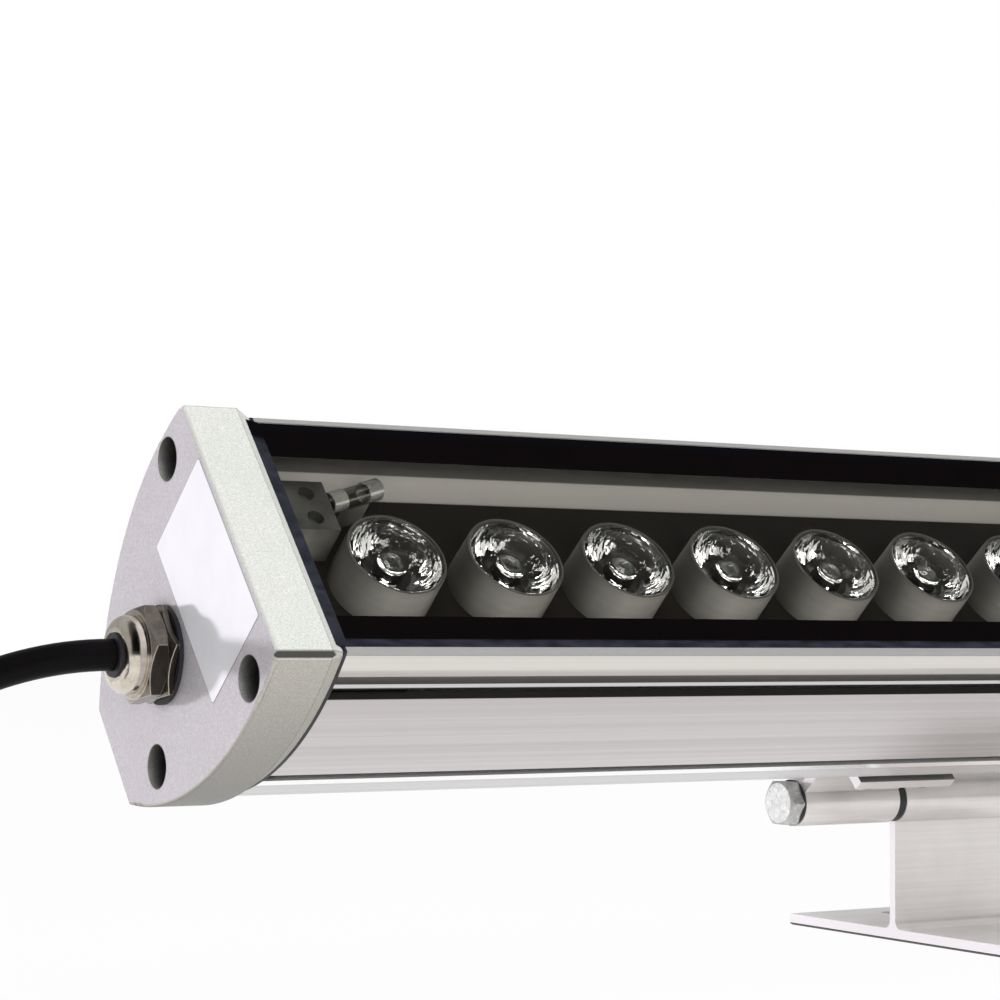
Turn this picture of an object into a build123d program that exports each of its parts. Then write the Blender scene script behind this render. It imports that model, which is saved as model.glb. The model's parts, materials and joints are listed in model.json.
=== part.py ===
"""Outdoor wall washer light: a long aluminium lamp with a row of lenses under glass, on two hinged feet.

All sizes are millimetres. The lamp is built on its own axes: X along its length with 0 at the middle,
Y across it, and Z = 0 at the front flat of the end caps, so a depth into the lamp is a negative Z.
It is then leaned over about the hinge axis and stood on its feet, with +Z up and Z = 0 at the floor.
"""

import os
from math import cos, pi, radians, sin, sqrt, tan

from build123d import *

# ---------------------------------------------------------------- driving dimensions
# The whole lamp
LAMP_LENGTH = 1000.0
REST_TILT = 48.7  # lean of the beam from straight up, in degrees
RUNNING_GAP = 0.1  # between faces that turn on each other
FIT = 0.05  # radial play of a shank in its hole
LOOSE_FIT = 0.1  # radial play of a screw in a plate, and of a lens in its holder
HEAD_PLAY = 0.2  # radial play of a screw's head in its counterbore

# Section of the end caps: two arcs between a flat front and a flat back
CAP_THICKNESS = 14.2
CAP_DEPTH = 66.5
ARC_RADIUS = 71.6
ARC_OFFSET = 39.07  # how far each arc's centre lies beyond the middle plane
ARC_DEPTH = 16.1
FACET_DEPTH = 1.7
FACET_WIDTH = 1.0
CAP_BEVEL_LENGTH = 3.0  # the caps slope down to the housing over this length
CAP_BEVEL_IN = 1.7
CAP_EDGE_ROUND = 0.6
GASKET_THICKNESS = 0.6
GASKET_OPENING_DEPTH = 10.8

# Housing extrusion
HOUSING_INSET = 1.6  # how far the housing lies inside the caps' outline
LIP_DEPTH = 1.4
LIP_FACET_DEPTH = 0.5
LIP_FACET_WIDTH = 0.3
GLASS_SEAT_HALF = 28.1
GLASS_SEAT_DEPTH = 5.4
CHANNEL_HALF = 23.6
SHELF_DEPTH = 18.6
SHELF_THICKNESS = 3.0
SIDE_WALL = 2.4
BACK_WALL = 5.0
RAIL_HALF = 10.0
STEP_TOP_DEPTH = 5.4
STEP_WIDTH = 3.4
STEP_IN = 1.1
STEP_LEDGE = 0.7
SIDE_GROOVE_DEPTH = 39.0
SIDE_GROOVE_WIDTH = 3.0
SIDE_GROOVE_IN = 3.5
CHAMBER_ROUND = 1.2

# Screw ports of the housing, and the cap screws in them
PORT_RADIUS = 2.5
PORT_BOSS_RADIUS = 4.6
PORT_MOUTH = 2.8
FRONT_PORT_HALF = 27.0
FRONT_PORT_DEPTH = 11.2
REAR_PORT_HALF = 14.4
REAR_PORT_DEPTH = 51.6
CAP_SCREW_LENGTH = 25.0
CAP_SCREW_HEAD_RADIUS = 4.0
CAP_SCREW_HEAD_HEIGHT = 2.8
CAP_SCREW_RECESS = 3.7
CAP_SCREW_SOCKET_FLATS = 4.0
CAP_SCREW_SOCKET_DEPTH = 1.8

# Cover glass and its sealant
GLASS_HALF = 26.0
GLASS_THICKNESS = 3.9
GLASS_END_GAP = 0.7
SEALANT_BEAD = 0.5  # share of the caps' bevel that the sealant covers

# LED board, lens holders and lenses
LENS_PITCH = 26.4
LENS_FROM_END = 37.5  # least distance of a lens's centre from the lamp's end
BOARD_THICKNESS = 1.6
BOARD_SIDE_GAP = 0.3
BOARD_END_GAP = 2.0
HOLDER_RADIUS = 10.0
HOLDER_WALL = 1.1
LENS_FRONT_DEPTH = 7.1
LENS_RIM_RADIUS = 10.4
LENS_RIM_THICKNESS = 1.6
LENS_TAIL_RADIUS = 4.2
LENS_TAIL_GAP = 1.6
CHIP_SIZE = 3.5
CHIP_HEIGHT = 1.2
BOARD_SCREW_COUNT = 9
BOARD_SCREW_Y = -19.0
BOARD_SCREW_RADIUS = 1.5
BOARD_SCREW_HEAD_RADIUS = 2.7
BOARD_SCREW_HEAD_HEIGHT = 1.9

# Terminal block and fuse at the left end of the LED board
BLOCK_SIZE = (8.8, 12.6)
BLOCK_HEIGHT = 8.7
BLOCK_FROM_END = 24.6
BLOCK_Y = 13.3
BLOCK_HOLE_RADIUS = 1.7
BLOCK_HOLE_DEPTH = 2.2
FUSE_LENGTH = 13.0
FUSE_RADIUS = 2.2
FUSE_CAP_LENGTH = 3.6
FUSE_CAP_WALL = 0.2
FUSE_FROM_END = 36.0
FUSE_Y = 18.0
FUSE_ANGLE = 20.0
FUSE_HEIGHT = 6.7
CLIP_LENGTH = 8.0
CLIP_WIDTH = 3.4
CLIP_GRIP = 1.1  # how far below the fuse's axis the saddle ends

# Driver in the rear chamber
DRIVER_LENGTH = 300.0
DRIVER_WIDTH = 42.0
DRIVER_FROM_END = 70.0
STANDOFF_HEIGHT = 4.0
STANDOFF_RADIUS = 2.8
STANDOFF_INSET = 5.0
DRIVER_SCREW_RADIUS = 1.5
DRIVER_SCREW_HEAD_RADIUS = 2.6
DRIVER_SCREW_HEAD_HEIGHT = 1.8
DRIVER_SCREW_GRIP = 1.5
TRANSFORMER_SIZE = (34.0, 28.0)
TRANSFORMER_CLEARANCE = 1.0
TRANSFORMER_FROM_BOARD_END = 150.0
CORE_WIDTH = 12.0
CORE_PROUD = 2.0
CAPACITOR_RADIUS = 6.0
CAPACITOR_LENGTH = 20.0
CAPACITOR_PITCH = 16.0
CAPACITOR_FROM_BOARD_END = 90.0
CHOKE_RADIUS = 8.0
CHOKE_BORE = 3.6
CHOKE_HEIGHT = 9.0
CHOKE_FROM_BOARD_END = 55.0
TERMINAL_LENGTH = 12.0
TERMINAL_WIDTH = 16.0
LEAD_RADIUS = 0.9
LEAD_SPACING = 4.0
LEAD_HOLE_RADIUS = 1.6
LEAD_BEND = 3.0
LEAD_DROP = 2.5  # how far under the driver board the leads enter its terminal
LEAD_STRAIGHT = 8.0
LEAD_END_Y = 4.5

# Cable gland on the left cap
GLAND_DEPTH = 36.2
GLAND_FLATS = 17.0
GLAND_FACE_RADIUS = 8.3  # round face that is left where the hexagon's corners are turned off
GLAND_THREAD_RADIUS = 8.0
GLAND_THREAD_LENGTH = 9.0
GLAND_WASHER_RADIUS = 9.4
GLAND_WASHER_THICKNESS = 0.8
GLAND_BODY_HEX = 1.6
GLAND_NUT_HEX = 3.7
GLAND_DOME = 3.7
GLAND_DOME_RADIUS = 7.4
GLAND_MOUTH_RADIUS = 5.2
GLAND_SEAL_RADIUS = 4.2
GLAND_SEAL_PROUD = 0.5

# Upper brackets and feet, cut from two extrusions, and the hinge between them
HINGE_BEHIND_BACK = 23.0
HINGE_HEIGHT = 34.2
BARREL_RADIUS = 5.6
BRACKET_FROM_END = 180.5
BRACKET_LENGTH = 28.4
BRACKET_HALF_WIDTH = 12.2
BRACKET_PLATE = 2.5
BRACKET_WEB = 2.6
FOOT_LENGTH = 50.0
FOOT_FRONT = 56.0
FOOT_BACK = 40.0
FOOT_PLATE = 2.8
FOOT_EDGE = 0.4
FOOT_WEB = 2.0
WEB_FILLET = 2.0
SLOT_WIDTH = 6.5
SLOT_LENGTH = 14.0
SLOT_FRONT_Y = 38.0
SLOT_BACK_Y = 25.0
BOLT_RADIUS = 3.0
BOLT_FLATS = 10.0
BOLT_FACE_RADIUS = 4.7
BOLT_TURN = 11.3  # turn of the heads and nuts about the hinge, in degrees
BOLT_HEAD_HEIGHT = 3.6
BOLT_TIP_PROUD = 2.0
BOLT_TIP_CHAMFER = 0.8
HEX_BEVEL_ANGLE = 30.0
NUT_HEIGHT = 6.0
WASHER_RADIUS = 5.4
WASHER_THICKNESS = 0.6
SPACER_THICKNESS = 2.2
BRACKET_SCREW_RADIUS = 2.0
BRACKET_SCREW_HEAD_RADIUS = 3.5
BRACKET_SCREW_HEAD_HEIGHT = 2.4
BRACKET_SCREW_GRIP = 4.2
BRACKET_SCREW_Y = 7.2
BRACKET_SCREW_INSET = 6.0

# Supply cable: a free stretch down to the floor, then a coil outside the foot's way
CABLE_RADIUS = 3.0
FLOOR_CLEARANCE = 0.1
COIL_INNER_RADIUS = 26.4
COIL_PITCH = 6.6
COIL_LAYER = 6.6
COIL_TURNS_IN = 2.25
COIL_TURNS_OUT = 1.75
COIL_CLIMB_TURNS = 0.5
CORE_RADIUS = 1.1
CORE_TAIL_LENGTH = 18.0

# ---------------------------------------------------------------- derived values
HINGE_DEPTH = CAP_DEPTH + HINGE_BEHIND_BACK
HOUSING_BACK = CAP_DEPTH - HOUSING_INSET
HOUSING_LENGTH = LAMP_LENGTH - 2 * (CAP_THICKNESS + GASKET_THICKNESS)
GLASS_LENGTH = HOUSING_LENGTH - 2 * GLASS_END_GAP
GLASS_DEPTH = GLASS_SEAT_DEPTH - GLASS_THICKNESS
SEALANT_DEPTH = CAP_BEVEL_IN
BOARD_TOP = SHELF_DEPTH - BOARD_THICKNESS
BOARD_LENGTH = HOUSING_LENGTH - 2 * BOARD_END_GAP
BOARD_HALF = CHANNEL_HALF - BOARD_SIDE_GAP
CHAMBER_TOP = SHELF_DEPTH + SHELF_THICKNESS
CHAMBER_BACK = CAP_DEPTH - BACK_WALL
LEFT_END = -LAMP_LENGTH / 2
DRIVER_LEFT = LEFT_END + DRIVER_FROM_END
DRIVER_TOP = CHAMBER_TOP + STANDOFF_HEIGHT
DRIVER_UNDERSIDE = DRIVER_TOP + BOARD_THICKNESS
GLAND_FACE = LEFT_END - GLAND_WASHER_THICKNESS - GLAND_BODY_HEX
GLAND_DOME_BASE = GLAND_FACE - GLAND_NUT_HEX
GLAND_MOUTH = GLAND_DOME_BASE - GLAND_DOME
CABLE_START = GLAND_MOUTH - GLAND_SEAL_PROUD
BRACKET_LEFT = LEFT_END + BRACKET_FROM_END
PLATE_BACK = CAP_DEPTH + BRACKET_PLATE
FOOT_LEFT = BRACKET_LEFT + BRACKET_LENGTH + SPACER_THICKNESS + RUNNING_GAP
STACK_END = FOOT_LEFT + FOOT_LENGTH + RUNNING_GAP
LENS_COUNT = 1 + int((LAMP_LENGTH - 2 * LENS_FROM_END) / LENS_PITCH)
LENS_PLACES = [(n - (LENS_COUNT - 1) / 2) * LENS_PITCH for n in range(LENS_COUNT)]
PORT_PLACES = [
    (side * half, -depth)
    for half, depth in ((FRONT_PORT_HALF, FRONT_PORT_DEPTH), (REAR_PORT_HALF, REAR_PORT_DEPTH))
    for side in (-1, 1)
]


# ---------------------------------------------------------------- helpers
def along_x(face, start, length):
    """A section drawn in Y and Z, extruded from start towards +X."""
    return extrude(Plane.YZ.offset(start) * face, amount=length)


def rod(radius, start, length, y=0.0, z=0.0):
    """A round bar along X."""
    return along_x(Pos(y, z) * Circle(radius), start, length)


def hexagon(flats):
    return RegularPolygon(flats / 2, 6, major_radius=False)


def hex_bar(flats, face_radius, start, length, bevel_end=True):
    """A hexagonal bar along X with its corners turned off at the start, and at the end too if asked."""
    corner = flats / sqrt(3)
    slope = (corner - face_radius) * tan(radians(HEX_BEVEL_ANGLE))
    end = start + length
    outline = [(start, 0), (start, face_radius), (start + slope, corner)]
    if bevel_end:
        outline += [(end - slope, corner), (end, face_radius), (end, 0)]
    else:
        outline += [(end, corner), (end, 0)]
    turned_off = revolve(make_face(Polyline(*outline, close=True)), axis=Axis.X)
    return along_x(hexagon(flats), start, length) & turned_off


def upright(radius, height, x, y, bottom):
    """A round bar along Z, standing on bottom."""
    return Pos(x, y, bottom) * Cylinder(radius, height, align=(Align.CENTER, Align.CENTER, Align.MIN))


def block(size_x, size_y, size_z, x, y, bottom):
    """A box centred on x and y, standing on bottom."""
    return Pos(x, y, bottom) * Box(size_x, size_y, size_z, align=(Align.CENTER, Align.CENTER, Align.MIN))


def turned(*points):
    """A solid of revolution about Z from radius and height points."""
    return revolve(Plane.XZ * make_face(Polyline(*points, close=True)), axis=Axis.Z)


def mirrored(shape):
    """The same piece at the lamp's other end."""
    return mirror(shape, about=Plane.YZ)


def group(shapes):
    return Compound(children=[solid for shape in shapes for solid in shape.solids()])


# ---------------------------------------------------------------- section of the lamp
def half_width(depth, inset=0.0):
    """Half the width of the lamp's outline at a depth, drawn in by inset."""
    return sqrt((ARC_RADIUS - inset) ** 2 - (depth - ARC_DEPTH) ** 2) - ARC_OFFSET


def section(inset, front, back, facet_depth=0.0, facet_width=0.0):
    """The lamp's outline between two depths, with a facet at each front corner."""
    shoulder = front + facet_depth
    middle = (shoulder + back) / 2
    front_half = half_width(shoulder, inset) - facet_width
    edges = []
    for side in (-1, 1):
        points = [(side * half_width(depth, inset), -depth) for depth in (shoulder, middle, back)]
        edges.append(ThreePointArc(*points))
        if facet_depth:
            edges.append(Line((side * front_half, -front), points[0]))
    edges.append(Line((-front_half, -front), (front_half, -front)))
    back_half = half_width(back, inset)
    edges.append(Line((-back_half, -back), (back_half, -back)))
    return make_face(edges)


def band(half, top, bottom):
    """A rectangle across the section, from one depth to another."""
    return Pos(0, -(top + bottom) / 2) * Rectangle(2 * half, bottom - top)


def side_band(depth, width, bite):
    """A cut into both sides of the housing, from depth to depth + width."""
    outer = half_width(depth + width / 2, HOUSING_INSET)
    reach = ARC_RADIUS - ARC_OFFSET
    cuts = [
        Pos(side * (outer - bite + reach / 2), -(depth + width / 2)) * Rectangle(reach, width)
        for side in (-1, 1)
    ]
    return cuts[0] + cuts[1]


def side_step():
    """A shallow slope into both sides of the housing that ends at a steep ledge."""
    top = STEP_TOP_DEPTH
    bottom = STEP_TOP_DEPTH + STEP_WIDTH
    valley = bottom - STEP_LEDGE
    cuts = []
    for side in (-1, 1):
        points = (
            (side * half_width(top), -top),
            (side * half_width(top, HOUSING_INSET), -top),
            (side * (half_width(valley, HOUSING_INSET) - STEP_IN), -valley),
            (side * half_width(bottom, HOUSING_INSET), -bottom),
            (side * half_width(bottom), -bottom),
        )
        cuts.append(make_face(Polyline(*points, close=True)))
    return cuts[0] + cuts[1]


def housing_outline():
    return section(HOUSING_INSET, LIP_DEPTH, HOUSING_BACK, LIP_FACET_DEPTH, LIP_FACET_WIDTH)


def chamber_section():
    """The driver chamber, clear of the side grooves and the rear screw ports."""
    room = section(HOUSING_INSET + SIDE_WALL, CHAMBER_TOP, CHAMBER_BACK)
    room = fillet(room.vertices(), CHAMBER_ROUND)
    room -= side_band(
        SIDE_GROOVE_DEPTH - SIDE_WALL,
        SIDE_GROOVE_WIDTH + 2 * SIDE_WALL,
        SIDE_GROOVE_IN + SIDE_WALL,
    )
    for side in (-1, 1):
        room -= Pos(side * REAR_PORT_HALF, -REAR_PORT_DEPTH) * Circle(PORT_BOSS_RADIUS)
        room -= Pos(side * (REAR_PORT_HALF + PORT_BOSS_RADIUS), -REAR_PORT_DEPTH) * Rectangle(
            2 * PORT_BOSS_RADIUS, PORT_BOSS_RADIUS
        )
    return room


def port_holes(radius):
    holes = Pos(*PORT_PLACES[0]) * Circle(radius)
    for place in PORT_PLACES[1:]:
        holes += Pos(*place) * Circle(radius)
    return holes


def housing_section():
    body = housing_outline()
    body += band(RAIL_HALF, HOUSING_BACK - HOUSING_INSET, CAP_DEPTH)
    body -= band(GLASS_SEAT_HALF, 0, GLASS_SEAT_DEPTH)
    body -= band(CHANNEL_HALF, 0, SHELF_DEPTH)
    body -= side_step()
    body -= side_band(SIDE_GROOVE_DEPTH, SIDE_GROOVE_WIDTH, SIDE_GROOVE_IN)
    mouth_bite = half_width(FRONT_PORT_DEPTH, HOUSING_INSET) - FRONT_PORT_HALF
    body -= side_band(FRONT_PORT_DEPTH - PORT_MOUTH / 2, PORT_MOUTH, mouth_bite)
    body -= chamber_section()
    return body - port_holes(PORT_RADIUS)


def bracket_screw_places():
    """Centres of the four screws of the left bracket."""
    ends = (BRACKET_LEFT + BRACKET_SCREW_INSET, BRACKET_LEFT + BRACKET_LENGTH - BRACKET_SCREW_INSET)
    return [(x, side * BRACKET_SCREW_Y) for x in ends for side in (-1, 1)]


def lead_places():
    """Where the two leads come up under the terminal block."""
    x = LEFT_END + BLOCK_FROM_END
    return [(x, BLOCK_Y + side * LEAD_SPACING / 2) for side in (-1, 1)]


def board_screw_places():
    """Midway between lenses, in one row under the printed edge of the glass."""
    share = (LENS_COUNT - 1) / BOARD_SCREW_COUNT
    before = [round((n + 0.5) * share - 0.5) for n in range(BOARD_SCREW_COUNT)]
    return [(LENS_PLACES[lens] + LENS_PITCH / 2, BOARD_SCREW_Y) for lens in before]


def standoff_places():
    xs = (DRIVER_LEFT + STANDOFF_INSET, DRIVER_LEFT + DRIVER_LENGTH - STANDOFF_INSET)
    y = DRIVER_WIDTH / 2 - STANDOFF_INSET
    return [(x, side * y) for x in xs for side in (-1, 1)]


# ---------------------------------------------------------------- the tilting lamp
def housing_extrusion():
    body = along_x(housing_section(), -HOUSING_LENGTH / 2, HOUSING_LENGTH)
    holes = []
    for x, y in bracket_screw_places():
        hole = upright(BRACKET_SCREW_RADIUS + FIT, BRACKET_SCREW_GRIP + FIT, x, y, -CAP_DEPTH)
        holes += [hole, mirrored(hole)]
    for x, y in board_screw_places():
        holes.append(upright(BOARD_SCREW_RADIUS + FIT, SHELF_THICKNESS, x, y, -CHAMBER_TOP))
    for x, y in standoff_places():
        holes.append(upright(DRIVER_SCREW_RADIUS + FIT, DRIVER_SCREW_GRIP, x, y, -CHAMBER_TOP))
    for x, y in lead_places():
        holes.append(upright(LEAD_HOLE_RADIUS, SHELF_THICKNESS, x, y, -CHAMBER_TOP))
    return body - holes


def end_cap(with_gland):
    """The left cap; the right one is the same without the gland's hole."""
    outline = section(0, 0, CAP_DEPTH, FACET_DEPTH, FACET_WIDTH)
    cap = along_x(outline, LEFT_END, CAP_THICKNESS)
    inner = cap.faces().sort_by(Axis.X)[-1]
    cap = chamfer(inner.edges(), CAP_BEVEL_IN, CAP_BEVEL_LENGTH, reference=inner)
    cap = fillet(cap.faces().sort_by(Axis.X)[0].edges(), CAP_EDGE_ROUND)
    counterbore = CAP_SCREW_RECESS + CAP_SCREW_HEAD_HEIGHT
    for y, z in PORT_PLACES:
        cap -= rod(CAP_SCREW_HEAD_RADIUS + HEAD_PLAY, LEFT_END, counterbore, y, z)
        cap -= rod(PORT_RADIUS + FIT, LEFT_END, CAP_THICKNESS, y, z)
    if with_gland:
        cap -= rod(GLAND_THREAD_RADIUS + FIT, LEFT_END, CAP_THICKNESS, z=-GLAND_DEPTH)
    return cap


def end_gasket():
    sheet = housing_outline()
    sheet -= band(GLASS_SEAT_HALF, 0, SEALANT_DEPTH)
    sheet -= band(CHANNEL_HALF, GASKET_OPENING_DEPTH, SHELF_DEPTH)
    sheet -= chamber_section()
    sheet -= port_holes(PORT_RADIUS + FIT)
    return along_x(sheet, LEFT_END + CAP_THICKNESS, GASKET_THICKNESS)


def cap_screws():
    seat = LEFT_END + CAP_SCREW_RECESS
    socket = along_x(hexagon(CAP_SCREW_SOCKET_FLATS), seat, CAP_SCREW_SOCKET_DEPTH)
    screw = rod(CAP_SCREW_HEAD_RADIUS, seat, CAP_SCREW_HEAD_HEIGHT) - socket
    screw += rod(PORT_RADIUS - FIT, seat + CAP_SCREW_HEAD_HEIGHT, CAP_SCREW_LENGTH)
    return group([Pos(0, y, z) * screw for y, z in PORT_PLACES])


def cover_glass():
    bottom = -GLASS_SEAT_DEPTH
    return block(GLASS_LENGTH, 2 * GLASS_HALF, GLASS_THICKNESS, 0, 0, bottom)


def glass_sealant():
    """Sealant round the glass, drawn out over the foot of the caps' bevels at both ends."""
    height = GLASS_SEAT_DEPTH - SEALANT_DEPTH
    frame = block(HOUSING_LENGTH, 2 * GLASS_SEAT_HALF, height, 0, 0, -GLASS_SEAT_DEPTH)
    frame -= block(GLASS_LENGTH, 2 * GLASS_HALF, height, 0, 0, -GLASS_SEAT_DEPTH)
    cap_inner = LEFT_END + CAP_THICKNESS
    glass_end = -GLASS_LENGTH / 2
    wedge = Polyline(
        (cap_inner - SEALANT_BEAD * CAP_BEVEL_LENGTH, -(1 - SEALANT_BEAD) * CAP_BEVEL_IN),
        (cap_inner, -CAP_BEVEL_IN),
        (glass_end, -SEALANT_DEPTH),
        (glass_end, -GLASS_DEPTH),
        close=True,
    )
    bead = extrude(Plane.XZ * make_face(wedge), GLASS_SEAT_HALF, both=True)
    return frame + bead + mirrored(bead)


def led_board():
    board = block(BOARD_LENGTH, 2 * BOARD_HALF, BOARD_THICKNESS, 0, 0, -SHELF_DEPTH)
    holes = [
        upright(BOARD_SCREW_RADIUS + FIT, BOARD_THICKNESS, x, y, -SHELF_DEPTH)
        for x, y in board_screw_places()
    ]
    holes += [upright(LEAD_HOLE_RADIUS, BOARD_THICKNESS, x, y, -SHELF_DEPTH) for x, y in lead_places()]
    return board - holes


def board_screws():
    screws = []
    for x, y in board_screw_places():
        shank_length = BOARD_THICKNESS + SHELF_THICKNESS
        shank = upright(BOARD_SCREW_RADIUS, shank_length, x, y, -CHAMBER_TOP)
        head = upright(BOARD_SCREW_HEAD_RADIUS, BOARD_SCREW_HEAD_HEIGHT, x, y, -BOARD_TOP)
        screws.append(shank + head)
    return group(screws)


def led_chips():
    return group([block(CHIP_SIZE, CHIP_SIZE, CHIP_HEIGHT, x, 0, -BOARD_TOP) for x in LENS_PLACES])


def lens_holders():
    """Plain tubes that stand on the board and carry the lens rims."""
    height = BOARD_TOP - LENS_FRONT_DEPTH - LENS_RIM_THICKNESS
    tube = upright(HOLDER_RADIUS, height, 0, 0, -BOARD_TOP)
    tube -= upright(HOLDER_RADIUS - HOLDER_WALL, height, 0, 0, -BOARD_TOP)
    return group([Pos(x, 0, 0) * tube for x in LENS_PLACES])


def lenses():
    """A rim on the holder, and a cone that narrows to the LED."""
    rim_bottom = -(LENS_FRONT_DEPTH + LENS_RIM_THICKNESS)
    tail = -BOARD_TOP + CHIP_HEIGHT + LENS_TAIL_GAP
    cone_radius = HOLDER_RADIUS - HOLDER_WALL - LOOSE_FIT
    lens = turned(
        (0, -LENS_FRONT_DEPTH),
        (LENS_RIM_RADIUS, -LENS_FRONT_DEPTH),
        (LENS_RIM_RADIUS, rim_bottom),
        (cone_radius, rim_bottom),
        (LENS_TAIL_RADIUS, tail),
        (0, tail),
    )
    return group([Pos(x, 0, 0) * lens for x in LENS_PLACES])


def terminal_block():
    x = LEFT_END + BLOCK_FROM_END
    body = block(*BLOCK_SIZE, BLOCK_HEIGHT, x, BLOCK_Y, -BOARD_TOP)
    well_bottom = -BOARD_TOP + BLOCK_HEIGHT - BLOCK_HOLE_DEPTH
    wells = [
        upright(BLOCK_HOLE_RADIUS, BLOCK_HOLE_DEPTH, x, BLOCK_Y + offset, well_bottom)
        for offset in (-BLOCK_SIZE[1] / 4, BLOCK_SIZE[1] / 4)
    ]
    return body - wells


def fuse_place():
    return Pos(LEFT_END + FUSE_FROM_END, FUSE_Y, -BOARD_TOP + FUSE_HEIGHT) * Rot(Z=FUSE_ANGLE)


def fuse_tube():
    return fuse_place() * rod(FUSE_RADIUS - FUSE_CAP_WALL, -FUSE_LENGTH / 2, FUSE_LENGTH)


def fuse_caps():
    caps = []
    for start in (-FUSE_LENGTH / 2, FUSE_LENGTH / 2 - FUSE_CAP_LENGTH):
        cap = rod(FUSE_RADIUS, start, FUSE_CAP_LENGTH)
        caps.append(fuse_place() * (cap - rod(FUSE_RADIUS - FUSE_CAP_WALL, start, FUSE_CAP_LENGTH)))
    return group(caps)


def fuse_clip():
    """A moulded saddle from the board up to the fuse."""
    height = FUSE_HEIGHT - CLIP_GRIP
    saddle = block(CLIP_LENGTH, CLIP_WIDTH, height, 0, 0, -FUSE_HEIGHT)
    saddle -= rod(FUSE_RADIUS + FIT, -FUSE_LENGTH / 2, FUSE_LENGTH)
    return fuse_place() * saddle


def led_leads():
    """Two leads from the driver, up through the shelf and the board into the terminal block."""
    leads = []
    end_x = DRIVER_LEFT - TERMINAL_LENGTH / 2
    run_z = -(DRIVER_UNDERSIDE + LEAD_DROP)
    for x, y in lead_places():
        end_y = LEAD_END_Y + y - BLOCK_Y
        path = FilletPolyline(
            (x, y, -BOARD_TOP),
            (x, y, run_z),
            (end_x - LEAD_STRAIGHT, end_y, run_z),
            (end_x, end_y, run_z),
            radius=LEAD_BEND,
        )
        leads.append(sweep(Plane(path @ 0, z_dir=path % 0) * Circle(LEAD_RADIUS), path=path))
    return group(leads)


def driver_board():
    x = DRIVER_LEFT + DRIVER_LENGTH / 2
    board = block(DRIVER_LENGTH, DRIVER_WIDTH, BOARD_THICKNESS, x, 0, -DRIVER_UNDERSIDE)
    return board - [
        upright(DRIVER_SCREW_RADIUS + FIT, BOARD_THICKNESS, x, y, -DRIVER_UNDERSIDE)
        for x, y in standoff_places()
    ]


def driver_standoffs():
    sleeves = []
    for x, y in standoff_places():
        sleeve = upright(STANDOFF_RADIUS, STANDOFF_HEIGHT, x, y, -DRIVER_TOP)
        sleeves.append(sleeve - upright(DRIVER_SCREW_RADIUS + FIT, STANDOFF_HEIGHT, x, y, -DRIVER_TOP))
    return group(sleeves)


def driver_screws():
    screws = []
    for x, y in standoff_places():
        shank_length = BOARD_THICKNESS + STANDOFF_HEIGHT + DRIVER_SCREW_GRIP
        shank = upright(DRIVER_SCREW_RADIUS, shank_length, x, y, -DRIVER_UNDERSIDE)
        head_bottom = -DRIVER_UNDERSIDE - DRIVER_SCREW_HEAD_HEIGHT
        head = upright(DRIVER_SCREW_HEAD_RADIUS, DRIVER_SCREW_HEAD_HEIGHT, x, y, head_bottom)
        screws.append(shank + head)
    return group(screws)


def driver_transformer():
    """A wound bobbin with a ferrite core round it."""
    size_x, size_y = TRANSFORMER_SIZE
    size_z = REAR_PORT_DEPTH - PORT_BOSS_RADIUS - TRANSFORMER_CLEARANCE - DRIVER_UNDERSIDE
    x = DRIVER_LEFT + TRANSFORMER_FROM_BOARD_END
    bottom = -DRIVER_UNDERSIDE - size_z
    bobbin = block(size_x, size_y - 2 * CORE_PROUD, size_z, x, 0, bottom)
    core = block(CORE_WIDTH, size_y, size_z - CORE_PROUD, x, 0, bottom + CORE_PROUD / 2)
    return bobbin + core


def driver_capacitors():
    cans = []
    z = -DRIVER_UNDERSIDE - CAPACITOR_RADIUS
    for side in (-1, 1):
        start = DRIVER_LEFT + CAPACITOR_FROM_BOARD_END
        cans.append(rod(CAPACITOR_RADIUS, start, CAPACITOR_LENGTH, side * CAPACITOR_PITCH / 2, z))
    return group(cans)


def driver_choke():
    x = DRIVER_LEFT + CHOKE_FROM_BOARD_END
    bottom = -DRIVER_UNDERSIDE - CHOKE_HEIGHT
    return upright(CHOKE_RADIUS, CHOKE_HEIGHT, x, 0, bottom) - upright(CHOKE_BORE, CHOKE_HEIGHT, x, 0, bottom)


def driver_terminal():
    """Input and output terminal at the board's left edge, down to the cable's level."""
    bottom = -(GLAND_DEPTH + CABLE_RADIUS + FIT)
    return block(TERMINAL_LENGTH, TERMINAL_WIDTH, -bottom - DRIVER_UNDERSIDE, DRIVER_LEFT, 0, bottom)


# ---------------------------------------------------------------- cable gland
def at_gland(shape):
    return Pos(0, 0, -GLAND_DEPTH) * shape


def gland_washer():
    start = LEFT_END - GLAND_WASHER_THICKNESS
    ring = rod(GLAND_WASHER_RADIUS, start, GLAND_WASHER_THICKNESS)
    return at_gland(ring - rod(GLAND_THREAD_RADIUS, start, GLAND_WASHER_THICKNESS))


def gland_body():
    shank_length = GLAND_WASHER_THICKNESS + GLAND_THREAD_LENGTH
    body = hex_bar(GLAND_FLATS, GLAND_FACE_RADIUS, GLAND_FACE, GLAND_BODY_HEX, bevel_end=False)
    body += rod(GLAND_THREAD_RADIUS, GLAND_FACE + GLAND_BODY_HEX, shank_length)
    return at_gland(body - rod(GLAND_SEAL_RADIUS, GLAND_FACE, GLAND_BODY_HEX + shank_length))


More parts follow.
